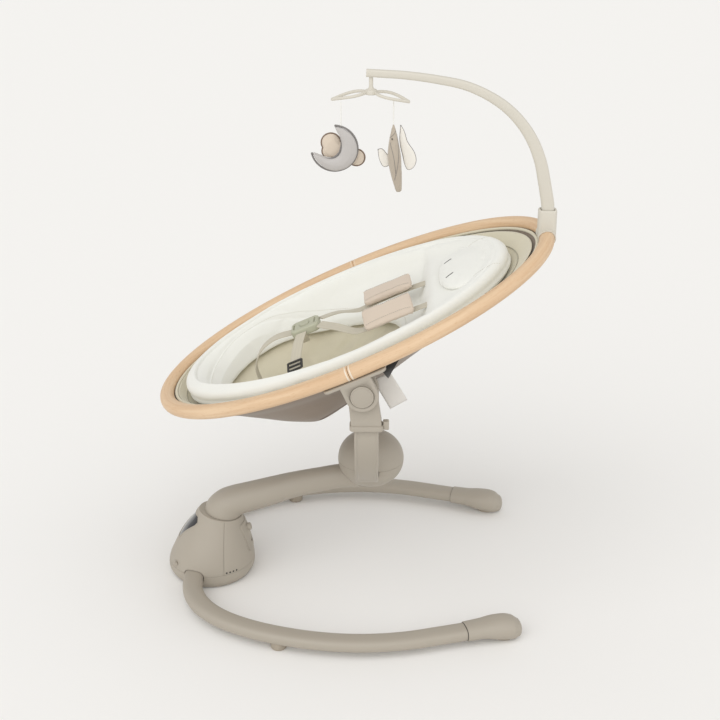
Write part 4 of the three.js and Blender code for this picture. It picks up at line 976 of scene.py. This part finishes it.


# A corded seam runs along the shell's flank, and a thin black cloth triangle hangs under each hinge cover.
flank_seam = laid_on(shell_bag, [(x, -290, -38 + 0.28 * x) for x in np.linspace(-112, -20, 24)], (0, 1, 0))
dark_taupe = cloth("dark_taupe_cord", "#6d6259", 1.2, 0.15)
for side, flip in (("left", 1), ("right", -1)):
    ring_cord(f"shell_flank_seam_{side}", [(x, flip * y, z) for x, y, z in flank_seam], 0.9, dark_taupe,
              "shell_fabric", closed=False, lay=None)
black_web = cloth("black_webbing", "#2b2927", 1.6, 0.25)
corners = [(38, -221, FLANGE_TOP - 1), (82, -218, FLANGE_TOP - 2), (44, -212, FLANGE_TOP - 34)]
black_triangle = piece_from("left_black_gusset", list(metres(seat(corners))), [(0, 1, 2)])
pair(walled(black_triangle, 1.4), "seat", "webbing", black_web)

# A rolled hem meets the rim over a thin dark cord of painted shadow; a stitched piping runs a finger's width
# inside.
ring_cord("rim_gasket", inside_rim(-0.9, SHELL_TOP - 0.4), 1.2, dark, "dark_plastic")
ring_cord("liner_hem", inside_rim(2.6, SHELL_TOP - 0.2), 2.9, sage, "liner_fabric")
sage_cord = cloth("sage_piping", "#aba592", 1.6, 0.2)
PIPING_RING, PIPING_RADIUS = 7, 0.9
piping_path = bowl_rings(LINER_INSET)[PIPING_RING][::2] + (0, 0, PIPING_RADIUS)
ring_cord("liner_piping", list(piping_path), PIPING_RADIUS, sage_cord, "liner_fabric")

# ---- Cushions ------------------------------------------------------------------------------------
# A white jersey inlay filled with wadding follows the liner and stands over the rim; it leaves a well round
# the harness. A head pad and two shoulder pads lie on it.
# White cotton jersey: a fine even knit with a soft bloom, warm in its folds.
jersey = cloth("white_jersey", "#ebebe5", 1.1, 0.12, 0.35, 0.03)


def blown_up(piece, swell_mm, pressure, frames=20):
    """Blows a cover up as cloth under pressure; a cap on how far it moves holds it in its space."""
    before = np.array([v.co for v in piece.data.vertices])
    blow = piece.modifiers.new("blow", "CLOTH")
    blow.settings.use_pressure = True
    blow.settings.uniform_pressure_force = pressure
    blow.settings.effector_weights.gravity = 0
    blow.settings.quality = 4
    for number in range(1, frames + 1):
        bpy.context.scene.frame_set(number)
    set_modifiers(piece)
    bpy.context.scene.frame_set(1)
    move = np.array([v.co for v in piece.data.vertices]) - before
    length = np.maximum(np.linalg.norm(move, axis=1), 1e-9)[:, None]
    after = before + move * np.minimum(1, swell_mm / 1000 / length)
    piece.data.vertices.foreach_set("co", after.reshape(-1))
    return piece


def softened(piece, times):
    """Adds a pass that smooths a cover's shape."""
    smooth = piece.modifiers.new("soften", "SMOOTH")
    smooth.factor = 0.5
    smooth.iterations = times


def finished(piece):
    """Gives a cover its fine skin."""
    finer = piece.modifiers.new("finer", "SUBSURF")
    finer.levels = finer.render_levels = 1
    set_modifiers(piece)
    piece.data.shade_smooth()
    return piece


def puffed(mesh, name, voxel_mm, swell_mm, smooth, pressure=4.0):
    """Rounds a closed mesh's edges, swells it as stuffed cloth and smooths it."""
    piece = linked(name, mesh)
    mesh.materials.clear()
    remesh = piece.modifiers.new("voxels", "REMESH")
    remesh.mode = "VOXEL"
    remesh.voxel_size = voxel_mm / 1000
    softened(piece, smooth)
    set_modifiers(piece)
    blown_up(piece, swell_mm, pressure)
    softened(piece, 2)
    return finished(piece)


def stuffed(node_name, name, voxel_mm, smooth):
    """Wadding in cloth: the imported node's shape with soft edges, blown up a little."""
    source = frame["nodes"][node_name]
    mesh = source.data.copy()
    mesh.transform(source.matrix_world)
    made = bmesh.new()
    made.from_mesh(mesh)
    bmesh.ops.remove_doubles(made, verts=made.verts, dist=1e-6)
    made.to_mesh(mesh)
    made.free()
    return puffed(mesh, name, voxel_mm, 3, smooth)


CUSHION_X, WELL_X = RIM_X - 15, -84
CUSHION_LENGTH, CUSHION_WIDTH, CUSHION_THICK = INNER_LENGTH - 38, INNER_WIDTH - 18, 15
WELL_LENGTH, WELL_WIDTH = 160, 143
INLAY_INSET = 9.6
levels = rung_rings(bowl_rungs(INLAY_INSET), 500, oval(4))
level_x, level_z = levels[:, (0, 2), 0].mean(axis=1), levels[:, :, 2].mean(axis=1)
level_long, level_wide = np.abs(np.ptp(levels[:, :, 0], axis=1)) / 2, np.ptp(levels[:, :, 1], axis=1) / 2


def lining(x, y):
    """Height of the liner's surface at a place in the seat's plan."""
    reach_share = ((x - level_x) / level_long) ** 2 + (y / level_wide) ** 2
    past = np.nonzero(reach_share > 1)[0]
    past = past[past > 0]
    if not len(past):
        return level_z[-1]
    i = past[0]
    a, b = reach_share[i - 1], reach_share[i]
    return level_z[i - 1] + (level_z[i] - level_z[i - 1]) * np.clip((1 - a) / max(b - a, 1e-9), 0, 1)


ROLL_TOP, ROLL = RIM_Z + 18, 12.5
BACK_FOOT, BACK_HEAD, BACK_TOP, BACK_DROP = 84, 152, RIM_Z - 5, 62


def back_level(x):
    """Height of the cushion's stuffed back, a ramp up to its level top."""
    share = np.clip((x - BACK_FOOT) / (BACK_HEAD - BACK_FOOT), 0, 1)
    return BACK_TOP - (1 - share * share * (3 - 2 * share)) * BACK_DROP


def cushion_rings(around=240, across=34):
    """Sections of the inlay, which lies on the liner from the well out to a stuffed roll over the rim."""
    rings = []
    for turn_at in np.linspace(0, 2 * math.pi, around, endpoint=False):
        c, s = math.cos(turn_at), math.sin(turn_at)
        well = np.array([CUSHION_X + WELL_X + (WELL_LENGTH + 1) * c, (WELL_WIDTH + 1) * s])
        edge = np.array([CUSHION_X + (CUSHION_LENGTH - 2) * c, (CUSHION_WIDTH - 2) * s])
        span = np.linalg.norm(edge - well)
        inward = (well - edge) / span

        def at(inset):
            """The liner's height at a distance in from the cushion's edge."""
            x, y = edge + inward * inset
            return lining(x, y)

        roll = [(ROLL * (1 - math.cos(a)), ROLL_TOP - ROLL * (1 - math.sin(a)))
                for a in np.linspace(-0.5, math.pi * 0.86, 17)]
        start = roll[-1][0]
        top = [(start + (span - start - 5) * k, 0) for k in np.linspace(0, 1, across)[1:]]
        face = []
        for inset, _ in top:
            blend = 1 / (1 + math.exp((inset - start - 24) / 9))
            rest = max(at(inset) + CUSHION_THICK + 1, back_level((edge + inward * inset)[0]))
            groove = 2.6 * math.exp(-((span - inset - 20) / 2.2) ** 2)
            face.append((inset, rest + (roll[-1][1] - rest) * blend * (1 - (inset - start) / span) - groove))
        lip = [(span - 1.6, at(span) + CUSHION_THICK - 4), (span, at(span) + 7), (span - 1, at(span) + 3)]
        base = [(inset, at(inset) + 1) for inset in np.linspace(span - 4, 5, across)]
        wall = [(0.5, at(0) + 4), (-0.5, (at(0) + ROLL_TOP - ROLL * 1.6) / 2)]
        section = roll + face + lip + base + wall
        rings.append([(*(edge + inward * inset), z) for inset, z in section])
    return np.array(rings)


inlay = finished(blown_up(skin("inlay_cushion_cover", cushion_rings(), closed=True, lay=seat), 4, 3.0))
fit(inlay, "seat", "cushion_fabric", jersey, "inlay_cushion")


def oval_path(x, length, width, count=120, start=0.0, end=2 * math.pi):
    """An oval or a part of one, in the seat's plan."""
    return [(x + length * math.cos(a), width * math.sin(a), 0) for a in np.linspace(start, end, count)]


cream = cloth("cream_thread", "#d9d7cd", 0.8, 0.1)
grey_thread = cloth("grey_thread", "#aca89d", 0.8, 0.1)
around_well = oval_path(CUSHION_X + WELL_X, WELL_LENGTH + 19, WELL_WIDTH + 17)
sewn("well_stitches", laid_on(inlay, around_well), "seat", "cushion_fabric", cream, closed=True)
head_seam = oval_path(226, 92, 74, 90, math.radians(118), math.radians(-118))
sewn("head_panel_stitches", laid_on(inlay, head_seam), "seat", "cushion_fabric", cream)
head_rest = stuffed("head_pad", "head_rest", 3.5, 10)
fit(head_rest, "seat", "cushion_fabric", jersey, "head_pad")
for number, y_side in enumerate((-1, 1)):
    slit = laid_on(head_rest, [(184 + dx, y_side * 34 + dx * 0.4, 0) for dx in (-7, 0, 7)], lift_mm=-0.2)
    ring_cord(f"head_pad_slit_{number}", slit, 1.1, dark, "dark_plastic", closed=False, lay=None)
# Pale beige brushed cotton: flat and soft, slightly pink beside the white.
blush = cloth("pale_beige_cotton", "#d2c3b3", 1.2, 0.12, 0.3, 0.05)
PAD_Y = 52
for side in ("left", "right"):
    shoulder = stuffed(f"{side}_shoulder_pad", f"{side}_shoulder_cover", 3.0, 3)
    fit(shoulder, "seat", "pad_fabric", blush, f"{side}_shoulder_pad")
    pad_y, lean = (-PAD_Y, math.radians(30)) if side == "left" else (PAD_Y, math.radians(9))
    for row, place in ((-16, "near"), (16, "far")):
        run = [(x, pad_y + row * math.cos(lean), row * math.sin(lean)) for x in np.linspace(24, 104, 20)]
        sewn(f"{side}_pad_stitches_{place}", laid_on(shoulder, run), "seat", "pad_fabric", grey_thread,
             step_mm=3.6, thread_mm=2.4)

# ---- Harness -------------------------------------------------------------------------------------
# A five-point harness of woven polyester webbing: a crotch strap, two waist straps and two shoulder straps
# meet in a moulded buckle; ladder-lock adjusters show on the straps.
def webbing_cloth(name, code, rib_mm=1.8):
    """Webbing: ribs across the tape and cords along it, with painted shade in its grooves and paler ribs."""
    material, tree = blank(name)
    flat = node(tree, "ShaderNodeUVMap", uv_map="along").outputs["UV"]
    per_metre = 1000 / (2 * math.pi)
    ribs = node(tree, "ShaderNodeTexWave", {"Vector": flat, "Scale": per_metre / rib_mm * 2,
                                            "Distortion": 0.6, "Detail": 1.0, "Detail Scale": 3.0},
                bands_direction="X")
    cords = node(tree, "ShaderNodeTexWave", {"Vector": flat, "Scale": per_metre / 3.0}, bands_direction="Y")
    height = node(tree, "ShaderNodeMath", {0: ribs.outputs["Fac"], 1: cords.outputs["Fac"]}, operation="ADD")
    place = node(tree, "ShaderNodeTexCoord").outputs["Object"]
    dye = node(tree, "ShaderNodeTexNoise", {"Vector": place, "Scale": 45.0, "Detail": 3.0}).outputs["Fac"]
    # Painted shade: the tone follows the relief, darker in the grooves and paler on the ribs and cords.
    shade = node(tree, "ShaderNodeMath", {0: height.outputs[0], 1: 0.3}, operation="MULTIPLY")
    dye_and_shade = node(tree, "ShaderNodeMath", {0: shade.outputs[0], 1: dye}, operation="MULTIPLY")
    tone = node(tree, "ShaderNodeMix", {"Factor": dye_and_shade.outputs[0], 6: shaded(code, 0.88),
                                        7: shaded(code, 1.12)}, data_type="RGBA")
    bump = node(tree, "ShaderNodeBump", {"Height": height.outputs[0], "Strength": 0.5, "Distance": 0.0003})
    surface(tree, {"Base Color": tone.outputs[2], "Roughness": 0.85, "Sheen Weight": 0.2,
                   "Specular IOR Level": 0.25, "Normal": bump.outputs["Normal"]})
    return material


# Polyester webbing: ribbed across, with a dry low gleam.
webbing = webbing_cloth("polyester_webbing", "#cbc4b2")
# Sage acetal, moulded: smoother and more waxy than the frame.
sage_plastic = moulded("sage_acetal", "#b3b39d", 0.42)
BUCKLE = np.array([-87, 0, RIM_Z + 12])


def tape(name, path, half_width, half_thick, sideways, count=70):
    """A flat strap along a path in the seat's frame."""
    outline = np.array(rounded(1, 1, 0.45, 5))
    return skin(name, sweep(path, sideways, lambda t: (half_width, half_thick), count, outline), lay=seat)


crotch_path = [(-205, 0, -9), (-200, 0, 22), (-178, 0, 47), (-146, 0, 58), (BUCKLE[0] - 25, 0, BUCKLE[2])]
crotch = tape("crotch_webbing", crotch_path, 12, 1.2, (0, 1, 0))
fit(crotch, "seat", "webbing", webbing, "crotch_strap")
waist_path = [(-95, -22, BUCKLE[2]), (-105, -48, BUCKLE[2] - 10), (-118, -82, BUCKLE[2] - 34),
              (-122, -92, BUCKLE[2] - 60)]
pair(tape("left_waist_webbing", waist_path, 10, 1.2, (1, 0, 0)), "seat", "webbing", webbing, "waist_strap")
STRAP_Z = RIM_Z - 14
shoulder_path = [(BUCKLE[0] + 27, -14, BUCKLE[2]), (-30, -34, BUCKLE[2] - 10), (2, -PAD_Y + 4, STRAP_Z),
                 (30, -PAD_Y, STRAP_Z - 0.5), (64, -PAD_Y, STRAP_Z), (108, -PAD_Y, STRAP_Z - 0.5),
                 (138, -PAD_Y + 2, STRAP_Z - 2)]
pair(tape("left_shoulder_webbing", shoulder_path, 1.2, 10, (0, 0, 1), 110), "seat", "webbing", webbing,
     "shoulder_strap")
buckle_outline = rounded(26, 21, 9, 9, middle=(BUCKLE[0], 0))
buckle = eased(prism("buckle_shell", buckle_outline, BUCKLE[2] - 7, BUCKLE[2] + 7, lay=seat), 3.0, 4)
carved(buckle, lathe("key_well", [(0, 9.6), (20, 9.6)], BUCKLE + (0, 0, 2.8), (0, 0, 1), lay=seat))
for y_side in (-1, 1):
    slot_outline = rounded(1.7, 11.5, 1.5, 5, middle=(BUCKLE[0] + y_side * 19.5, 0))
    carved(buckle, prism("slot_tool", slot_outline, BUCKLE[2] + 4.6, BUCKLE[2] + 9, lay=seat))
fit(eased(buckle, 0.5), "seat", "buckle_plastic", sage_plastic, "buckle_body")
key = lathe("buckle_key_cap", [(5, 9), (7.6, 9), (8.3, 8.4), (8.5, 7.6), (8.2, 6.8), (7.6, 3)], BUCKLE,
            (0, 0, 1), lay=seat)
fit(key, "buckle_key", "buckle_plastic", sage_plastic, "buckle_button")
LOCK_AT, LOCK_HALF_WIDTH, LOCK_HALF_LENGTH = 0.62, 12.6, 7
for side, flip in (("left", 1), ("right", -1)):
    spot = spline(waist_path, [LOCK_AT])[0] * (1, flip, 1)
    ahead = spline(waist_path, [LOCK_AT + 0.05])[0] * (1, flip, 1) - spot
    ahead /= np.linalg.norm(ahead)
    out = np.cross(ahead, (1, 0, 0))
    out /= np.linalg.norm(out) * (1 if out[2] > 0 else -1)
    bars = [[spot + ahead * step + out * 2.6 + s * np.array([LOCK_HALF_WIDTH, 0, 0]) for s in (-1, 1)]
            for step in (-LOCK_HALF_LENGTH, 0, LOCK_HALF_LENGTH)]
    rails = [[bars[0][k], bars[2][k]] for k in (0, 1)]
    made = []
    for k, (a, b) in enumerate(bars + rails):
        rings = sweep([a, (a + b) / 2, b], out, lambda t: (1.5, 1.8 if k < 3 else 2.1), 6, oval(16, 0.7))
        made.append(skin(f"bar{k}", rings, domes=(1, 1), lay=seat))
    fit(joined(made, f"{side}_ladder_lock"), "seat", "dark_plastic", dark)

# ---- Care label ----------------------------------------------------------------------------------
# A blank white satin label, sewn under the rim by its top edge; it hangs with a slight curl.
# White printed satin tape, here blank: thin, pale and slightly shiny.
satin = cloth("white_satin", "#dcd8d2", 1.0, 0.08, 0.15, 0.02, 0.6)
LABEL_WIDTH, LABEL_LENGTH, LABEL_ROWS, LABEL_COLUMNS = 32, 58, 16, 12
label_turn = math.radians(-30)
verts = []
for v in np.linspace(-0.5, 0.5, LABEL_ROWS):
    for u in np.linspace(-0.5, 0.5, LABEL_COLUMNS):
        x, z = LABEL_WIDTH * u, LABEL_LENGTH * v
        verts.append((52 + x * math.cos(label_turn) + z * math.sin(label_turn),
                      POST_Y + 25 + 1.8 * math.sin((v + 0.5) * 2.6 + u),
                      RECLINE[2] - 10 - x * math.sin(label_turn) + z * math.cos(label_turn)))
faces = [(i + k, i + k + 1, i + k + 1 + LABEL_COLUMNS, i + k + LABEL_COLUMNS)
         for i in range(0, (LABEL_ROWS - 1) * LABEL_COLUMNS, LABEL_COLUMNS) for k in range(LABEL_COLUMNS - 1)]
label = walled(piece_from("blank_label", list(metres(verts)), faces), 0.5)
fit(label, "seat", "label_cloth", satin, "care_label")

# ---- Toy bar -------------------------------------------------------------------------------------
# A warm light grey moulded arch plugs into a clip over the rim's head end and reaches over the seat, slimmer
# towards its square end.
# Warm light grey ABS, moulded: satin, paler than the frame.
light = moulded("warm_grey_abs", "#d2cdc1", 0.48)
arch_foot = seat([(RIM_X + RIM_HALF_LENGTH, 0, RIM_Z)])[0] + (0, 0, RIM_HALF[0] + 6)
MOBILE_Z = 912
arch_reach = arch_foot[0] - MOBILE_X + 8
arch_rise = MOBILE_Z + 31 - arch_foot[2]
arch_path = [(arch_foot[0] + a * arch_reach, 0, arch_foot[2] + b * arch_rise) for a, b in (
    (0, 0), (0, 0.06), (0, 0.12), (-0.025, 0.28), (-0.055, 0.43), (-0.1, 0.56), (-0.16, 0.67),
    (-0.245, 0.775), (-0.345, 0.855), (-0.47, 0.92), (-0.62, 0.958), (-0.79, 0.985), (-0.92, 0.995), (-1, 1))]


ARCH_FOOT, ARCH_END = np.array([16, 22]), np.array([12, 12.5])


def arch_size(share):
    """Half the arch's width and depth, which taper smoothly to its end."""
    taper = np.clip((share - 0.1) / 0.85, 0, 1)
    return (ARCH_FOOT + (ARCH_END - ARCH_FOOT) * taper * taper * (3 - 2 * taper)) / 2


arch = skin("toy_bar_arch", sweep(arch_path, (0, 1, 0), arch_size, 150, oval(36, 0.55)))
fit(eased(arch, 0.9, 3, 60), "toy_bar", "light_plastic", light, "toy_arch")
CLIP_WALL, CLIP_LOW, CLIP_HIGH, CLIP_FLARE = 4.5, arch_foot[2] - 20, arch_foot[2] + 28, 0.35
clip = prism("bar_clip", rounded(ARCH_FOOT[1] / 2 + CLIP_WALL, ARCH_FOOT[0] / 2 + CLIP_WALL, 7,
                                 middle=(arch_foot[0], 0)), CLIP_LOW, CLIP_HIGH)
for vertex in clip.data.vertices:
    share = (CLIP_HIGH - vertex.co.z * 1000) / (CLIP_HIGH - CLIP_LOW)
    vertex.co.y *= 1 + CLIP_FLARE * share ** 2
eased(clip, 2.2, 4)
socket_hole = prism("socket_hole", rounded(12, 9, 3, middle=(arch_foot[0], 0)), arch_foot[2] - 0.4,
                    arch_foot[2] + 60)
carved(clip, socket_hole, round_rim("rim_tool", rim_arc(1), 0.4))
saddle = round_rim("bar_saddle", rim_arc(1)[28:32], 2.2, 24, 48)
carved(saddle, round_rim("rim_tool", rim_arc(1), 0.3))
fit(eased(saddle, 0.7), "seat", "light_plastic", light)
fit(eased(clip, 0.4), "seat", "light_plastic", light, "toy_bar_clip")

# ---- Mobile --------------------------------------------------------------------------------------
# A small turning hanger: a stem in the arch's end, a round hub and two leaf-shaped loops that droop a little.
LEAF_LENGTH, LEAF_WIDTH, LEAF_BAR, LEAF_DROOP = 68, 40, 5, 14


def leaf_loop(name, angle):
    """One closed leaf-shaped bar, from the hub out and back."""
    half_bar = LEAF_BAR / 2
    start, end, bulge = 2 + half_bar * 1.6, LEAF_LENGTH - half_bar * 1.9, (LEAF_WIDTH / 2 - half_bar) * 1.33
    line = []
    for share in np.linspace(0, 1, 16, endpoint=False):
        left = 1 - share
        early, late = 3 * left * left * share, 3 * left * share * share
        x = left ** 3 * start + early * (start + 14) + late * (end - 30) + share ** 3 * end
        line.append((x, (early + late) * bulge))
    outline = line + [(end, 0)] + [(x, -y) for x, y in line[:0:-1]]
    turn_cos, turn_sin = math.cos(angle), math.sin(angle)
    path = []
    for x, y in outline:
        z = MOBILE_Z - LEAF_DROOP * (max(0, x) / LEAF_LENGTH) ** 1.5
        path.append((MOBILE_X + x * turn_cos - y * turn_sin, x * turn_sin + y * turn_cos, z))
    rings = sweep(path, (0, 0, 1), lambda t: (half_bar, half_bar), 130, oval(20, 0.75), closed=True)
    return skin(name, rings, closed=True)


hub = lathe("mobile_hub", [(-4.2, 6), (-4, 8.8), (-3, 10), (2.4, 10), (3.6, 9.2), (4.2, 7), (6, 4.4),
                           (9, 3.5), (28, 3.3)], (MOBILE_X, 0, MOBILE_Z), (0, 0, 1))
fit(hub, "mobile", "light_plastic", light, "mobile_hanger")
for name, angle in (("foot_side_leaf", math.pi), ("head_side_leaf", math.radians(-14))):
    fit(leaf_loop(name, angle), "mobile", "light_plastic", light)

# ---- Toys ----------------------------------------------------------------------------------------
# Plush figures cut flat and lightly stuffed: a grey crescent with a dark corded edge over a beige cloud,
# and a slim grey-beige bird with two pale wings and a dark bead for an eye.
# Velours of short pile, which glow at their edges, and woven pipings a few shades darker.
moon_felt = cloth("grey_velour", "#bfbbb8", 1.2, 0.15, 0.5, 0.06)
edge_cord = cloth("slate_piping", "#85817f", 1.2, 0.15, 0.2)
cloud_felt = cloth("beige_velour", "#d8cab9", 1.6, 0.2, 0.5, 0.06)
brown_cord = cloth("brown_piping", "#857264", 1.2, 0.15, 0.2)
MOON = (-42, 821)
TOY_Y = -14


def taken_from(piece):
    """A piece's mesh; the piece itself goes."""
    mesh = piece.data.copy()
    bpy.data.objects.remove(piece)
    return mesh


def flat_toy(name, outline, middle_y, half_thick, voxel, swell):
    """A stuffed flat figure from its outline in the swing's middle plane."""
    cut = prism(name + "_cut", outline, middle_y - half_thick, middle_y + half_thick, crosswise)
    return puffed(taken_from(cut), name, voxel, swell, smooth=4, pressure=6)


def arc(radius, start, end, count, middle):
    """Points along an arc, its ends in degrees."""
    return [(middle[0] + radius * math.cos(a), middle[1] + radius * math.sin(a))
            for a in np.radians(np.linspace(start, end, count))]


def bend(start, pull, end, count):
    """A curve from start to end, drawn towards pull."""
    return [tuple((1 - s) ** 2 * np.array(start) + 2 * s * (1 - s) * np.array(pull) + s * s * np.array(end))
            for s in np.linspace(0, 1, count)[1:]]


moon_outer = arc(38.5, 88, -168, 46, MOON)
hollow_a = bend(moon_outer[-1], (MOON[0] - 6, MOON[1] - 28), (MOON[0] + 8, MOON[1] - 7), 14)
hollow_b = bend((MOON[0] + 8, MOON[1] - 7), (MOON[0] + 18, MOON[1] + 14), moon_outer[0], 14)
moon_outline = moon_outer + hollow_a + hollow_b[:-1]
moon = flat_toy("crescent_toy", moon_outline, TOY_Y, 5.4, 2.2, 2.5)
fit(moon, "moon", "moon_fabric", moon_felt, "moon_toy")
moon_edge = [(x, TOY_Y, z) for x, z in moon_outline]
ring_cord("crescent_piping", moon_edge, 1.5, edge_cord, "moon_fabric", "moon", lay=None, sideways=ACROSS)
CLOUD_Y = TOY_Y + 7 + 0.4 + 6
lobes = [(MOON[0] - 6, MOON[1] + 6, 16), (MOON[0] - 8, MOON[1] - 8, 13), (MOON[0] + 12, MOON[1] - 11, 18),
         (MOON[0] + 36, MOON[1] - 19, 14)]
cloud_points = []
for x, z, r in lobes:
    for px, pz in arc(r, 0, 354, 60, (x, z)):
        if all(math.hypot(px - ox, pz - oz) > o_r - 0.3 for ox, oz, o_r in lobes if (ox, oz) != (x, z)):
            cloud_points.append((px, pz))
heart = (MOON[0] + 8, MOON[1] - 8)
cloud_points.sort(key=lambda p: math.atan2(p[1] - heart[1], p[0] - heart[0]))
cloud = flat_toy("cloud_cushion", cloud_points, CLOUD_Y, 4.6, 2.2, 2.2)
fit(cloud, "moon", "cloud_fabric", cloud_felt, "cloud_toy")
ring_cord("cloud_piping", [(x, CLOUD_Y, z) for x, z in cloud_points[::2]], 1.4, brown_cord, "cloud_fabric",
          "moon", lay=None, sideways=ACROSS)

bird_felt = cloth("greybeige_velour", "#b9ae9f", 1.2, 0.15, 0.5, 0.08)
pale_felt = cloth("ivory_velour", "#ebe7df", 1.6, 0.2, 0.5, 0.04)
BIRD = (57, -10, 861)
BIRD_MIDDLE_Z, WING_Y = 803, BIRD[1] + 5
bird_line = [(BIRD[0] - 2, BIRD[1], BIRD[2]), (BIRD[0], BIRD[1], 805), (BIRD[0] + 8, BIRD[1], 747)]
bird_sizes = [(2, 2, 0), (9, 8, 1), (12.5, 11.5, 2), (9.5, 9.5, 3), (4, 5.5, 4)]
bird_cut = skin("bird_body_cut", sweep(bird_line, (0, 1, 0), lambda t: spline(bird_sizes, [t])[0][:2], 30,
                                       oval(28)), domes=(1, 2))
bird = puffed(taken_from(bird_cut), "bird_plush", 2.2, 1.5, smooth=3, pressure=5)
fit(bird, "bird", "bird_fabric", bird_felt, "bird_toy")


def wing(name, outline, middle, material, swell=1.4, half_thick=1.6):
    """A small stuffed wing cut from felt and sewn on the bird's flank."""
    placed = [(middle[0] + a, middle[2] + b) for a, b in outline]
    cut = prism(name + "_cut", placed, middle[1] - half_thick, middle[1] + half_thick, crosswise)
    return fit(puffed(taken_from(cut), name, 0.9, swell, smooth=3), "bird", "bird_fabric", material)


far_wing = [(10, 55), (16, 44), (21, 28), (33, 9), (36, -6), (31, -17), (23, -20), (18, -12), (14, 4),
            (9, 28)]
near_wing = [(-27, 14), (-21, 15), (-14, 8), (-9, 0), (-10, -13), (-17, -15), (-24, -4)]
for name, corners in (("bird_far_wing", far_wing), ("bird_near_wing", near_wing)):
    outline = [tuple(p) for p in spline(corners + [corners[0]], np.linspace(0, 1, 60)[:-1])[:, :2]]
    wing(name, outline, (BIRD[0], WING_Y, BIRD_MIDDLE_Z), pale_felt)
    edge = [(BIRD[0] + x, WING_Y, BIRD_MIDDLE_Z + z) for x, z in outline[::2]]
    ring_cord(name + "_piping", edge, 0.7, edge_cord, "bird_fabric", "bird", lay=None, sideways=ACROSS)
for number, line in enumerate(([(4, 40), (7, 18), (6, -6), (1, -34)], [(-7, 28), (-1, 4), (3, -26)],
                               [(-8, 36), (0, 44), (5, 56)])):
    run = spline([(BIRD[0] + x, -60, BIRD_MIDDLE_Z + z) for x, z in line], np.linspace(0, 1, 26))
    sewn(f"bird_sewn_line_{number}", laid_on(bird, run, (0, 1, 0), 0.2, np.array), "bird", "bird_fabric",
         edge_cord, step_mm=2.2, thread_mm=2.0)
eye = lathe("bird_eye", [(-0.6, 0.2), (-0.4, 1.1), (0.6, 1.2), (1.6, 1.0), (2, 0.3)],
            (BIRD[0] - 4, BIRD[1] - 7.4, 838), (0, -1, 0), 20)
fit(eye, "bird", "dark_plastic", dark)

# ---- Inner pieces --------------------------------------------------------------------------------
# The axle turns in two ground steel bushes; a nylon lever on it carries the magnet past a copper coil, driven
# by a small circuit board behind the touch panel. They keep their drawn shapes.
# Enamelled copper wire, and glass epoxy board under green solder resist.
copper = moulded("enamelled_copper", "#a8622f", 0.35)
copper.node_tree.nodes["Principled BSDF"].inputs["Metallic"].default_value = 1.0
ground.node_tree.nodes["Principled BSDF"].inputs["Metallic"].default_value = 1.0
board = moulded("glass_epoxy_board", "#2f5a3b", 0.45)
for names, finish_of in ((("swing_axle", "lower_bearing", "upper_bearing"), ground),
                         (("magnet_lever",), dark), (("drive_coil",), copper), (("circuit_board",), board),
                         (("left_leg_button", "right_leg_button"), greige)):
    for name in names:
        for socket in frame["nodes"][name].material_slots:
            socket.material = finish_of

# ---- Floor and light -----------------------------------------------------------------------------
# A plain pale matt floor under two broad soft lights and a pale sky.
floor_mesh = bpy.data.meshes.new("studio_floor")
floor_mesh.from_pydata([(-30, -30, 0), (30, -30, 0), (30, 30, 0), (-30, 30, 0)], [], [(0, 1, 2, 3)])
studio_floor = linked("studio_floor", floor_mesh)
paper, tree = blank("studio_paper")
surface(tree, {"Base Color": hex_colour("#f4f3f1"), "Roughness": 1.0, "Specular IOR Level": 0.0})
floor_mesh.materials.append(paper)
for place, strength, spread in (((-1.4, -2.4, 2.2), 1.15, 70), ((2.2, -1.8, 2.0), 0.55, 80)):
    lamp = bpy.data.lights.new("soft_window", "SUN")
    lamp.energy = strength
    lamp.angle = math.radians(spread)
    hung = linked("soft_window", lamp)
    hung.location = place
    hung.rotation_euler = (-Vector(place)).to_track_quat("-Z", "Y").to_euler()
studio = bpy.data.worlds.new("studio")
studio.use_nodes = True
studio.node_tree.nodes["Background"].inputs["Color"].default_value = hex_colour("#fbfaf8")
studio.node_tree.nodes["Background"].inputs["Strength"].default_value = 0.7
bpy.context.scene.world = studio
bpy.context.scene.view_settings.view_transform = "Standard"
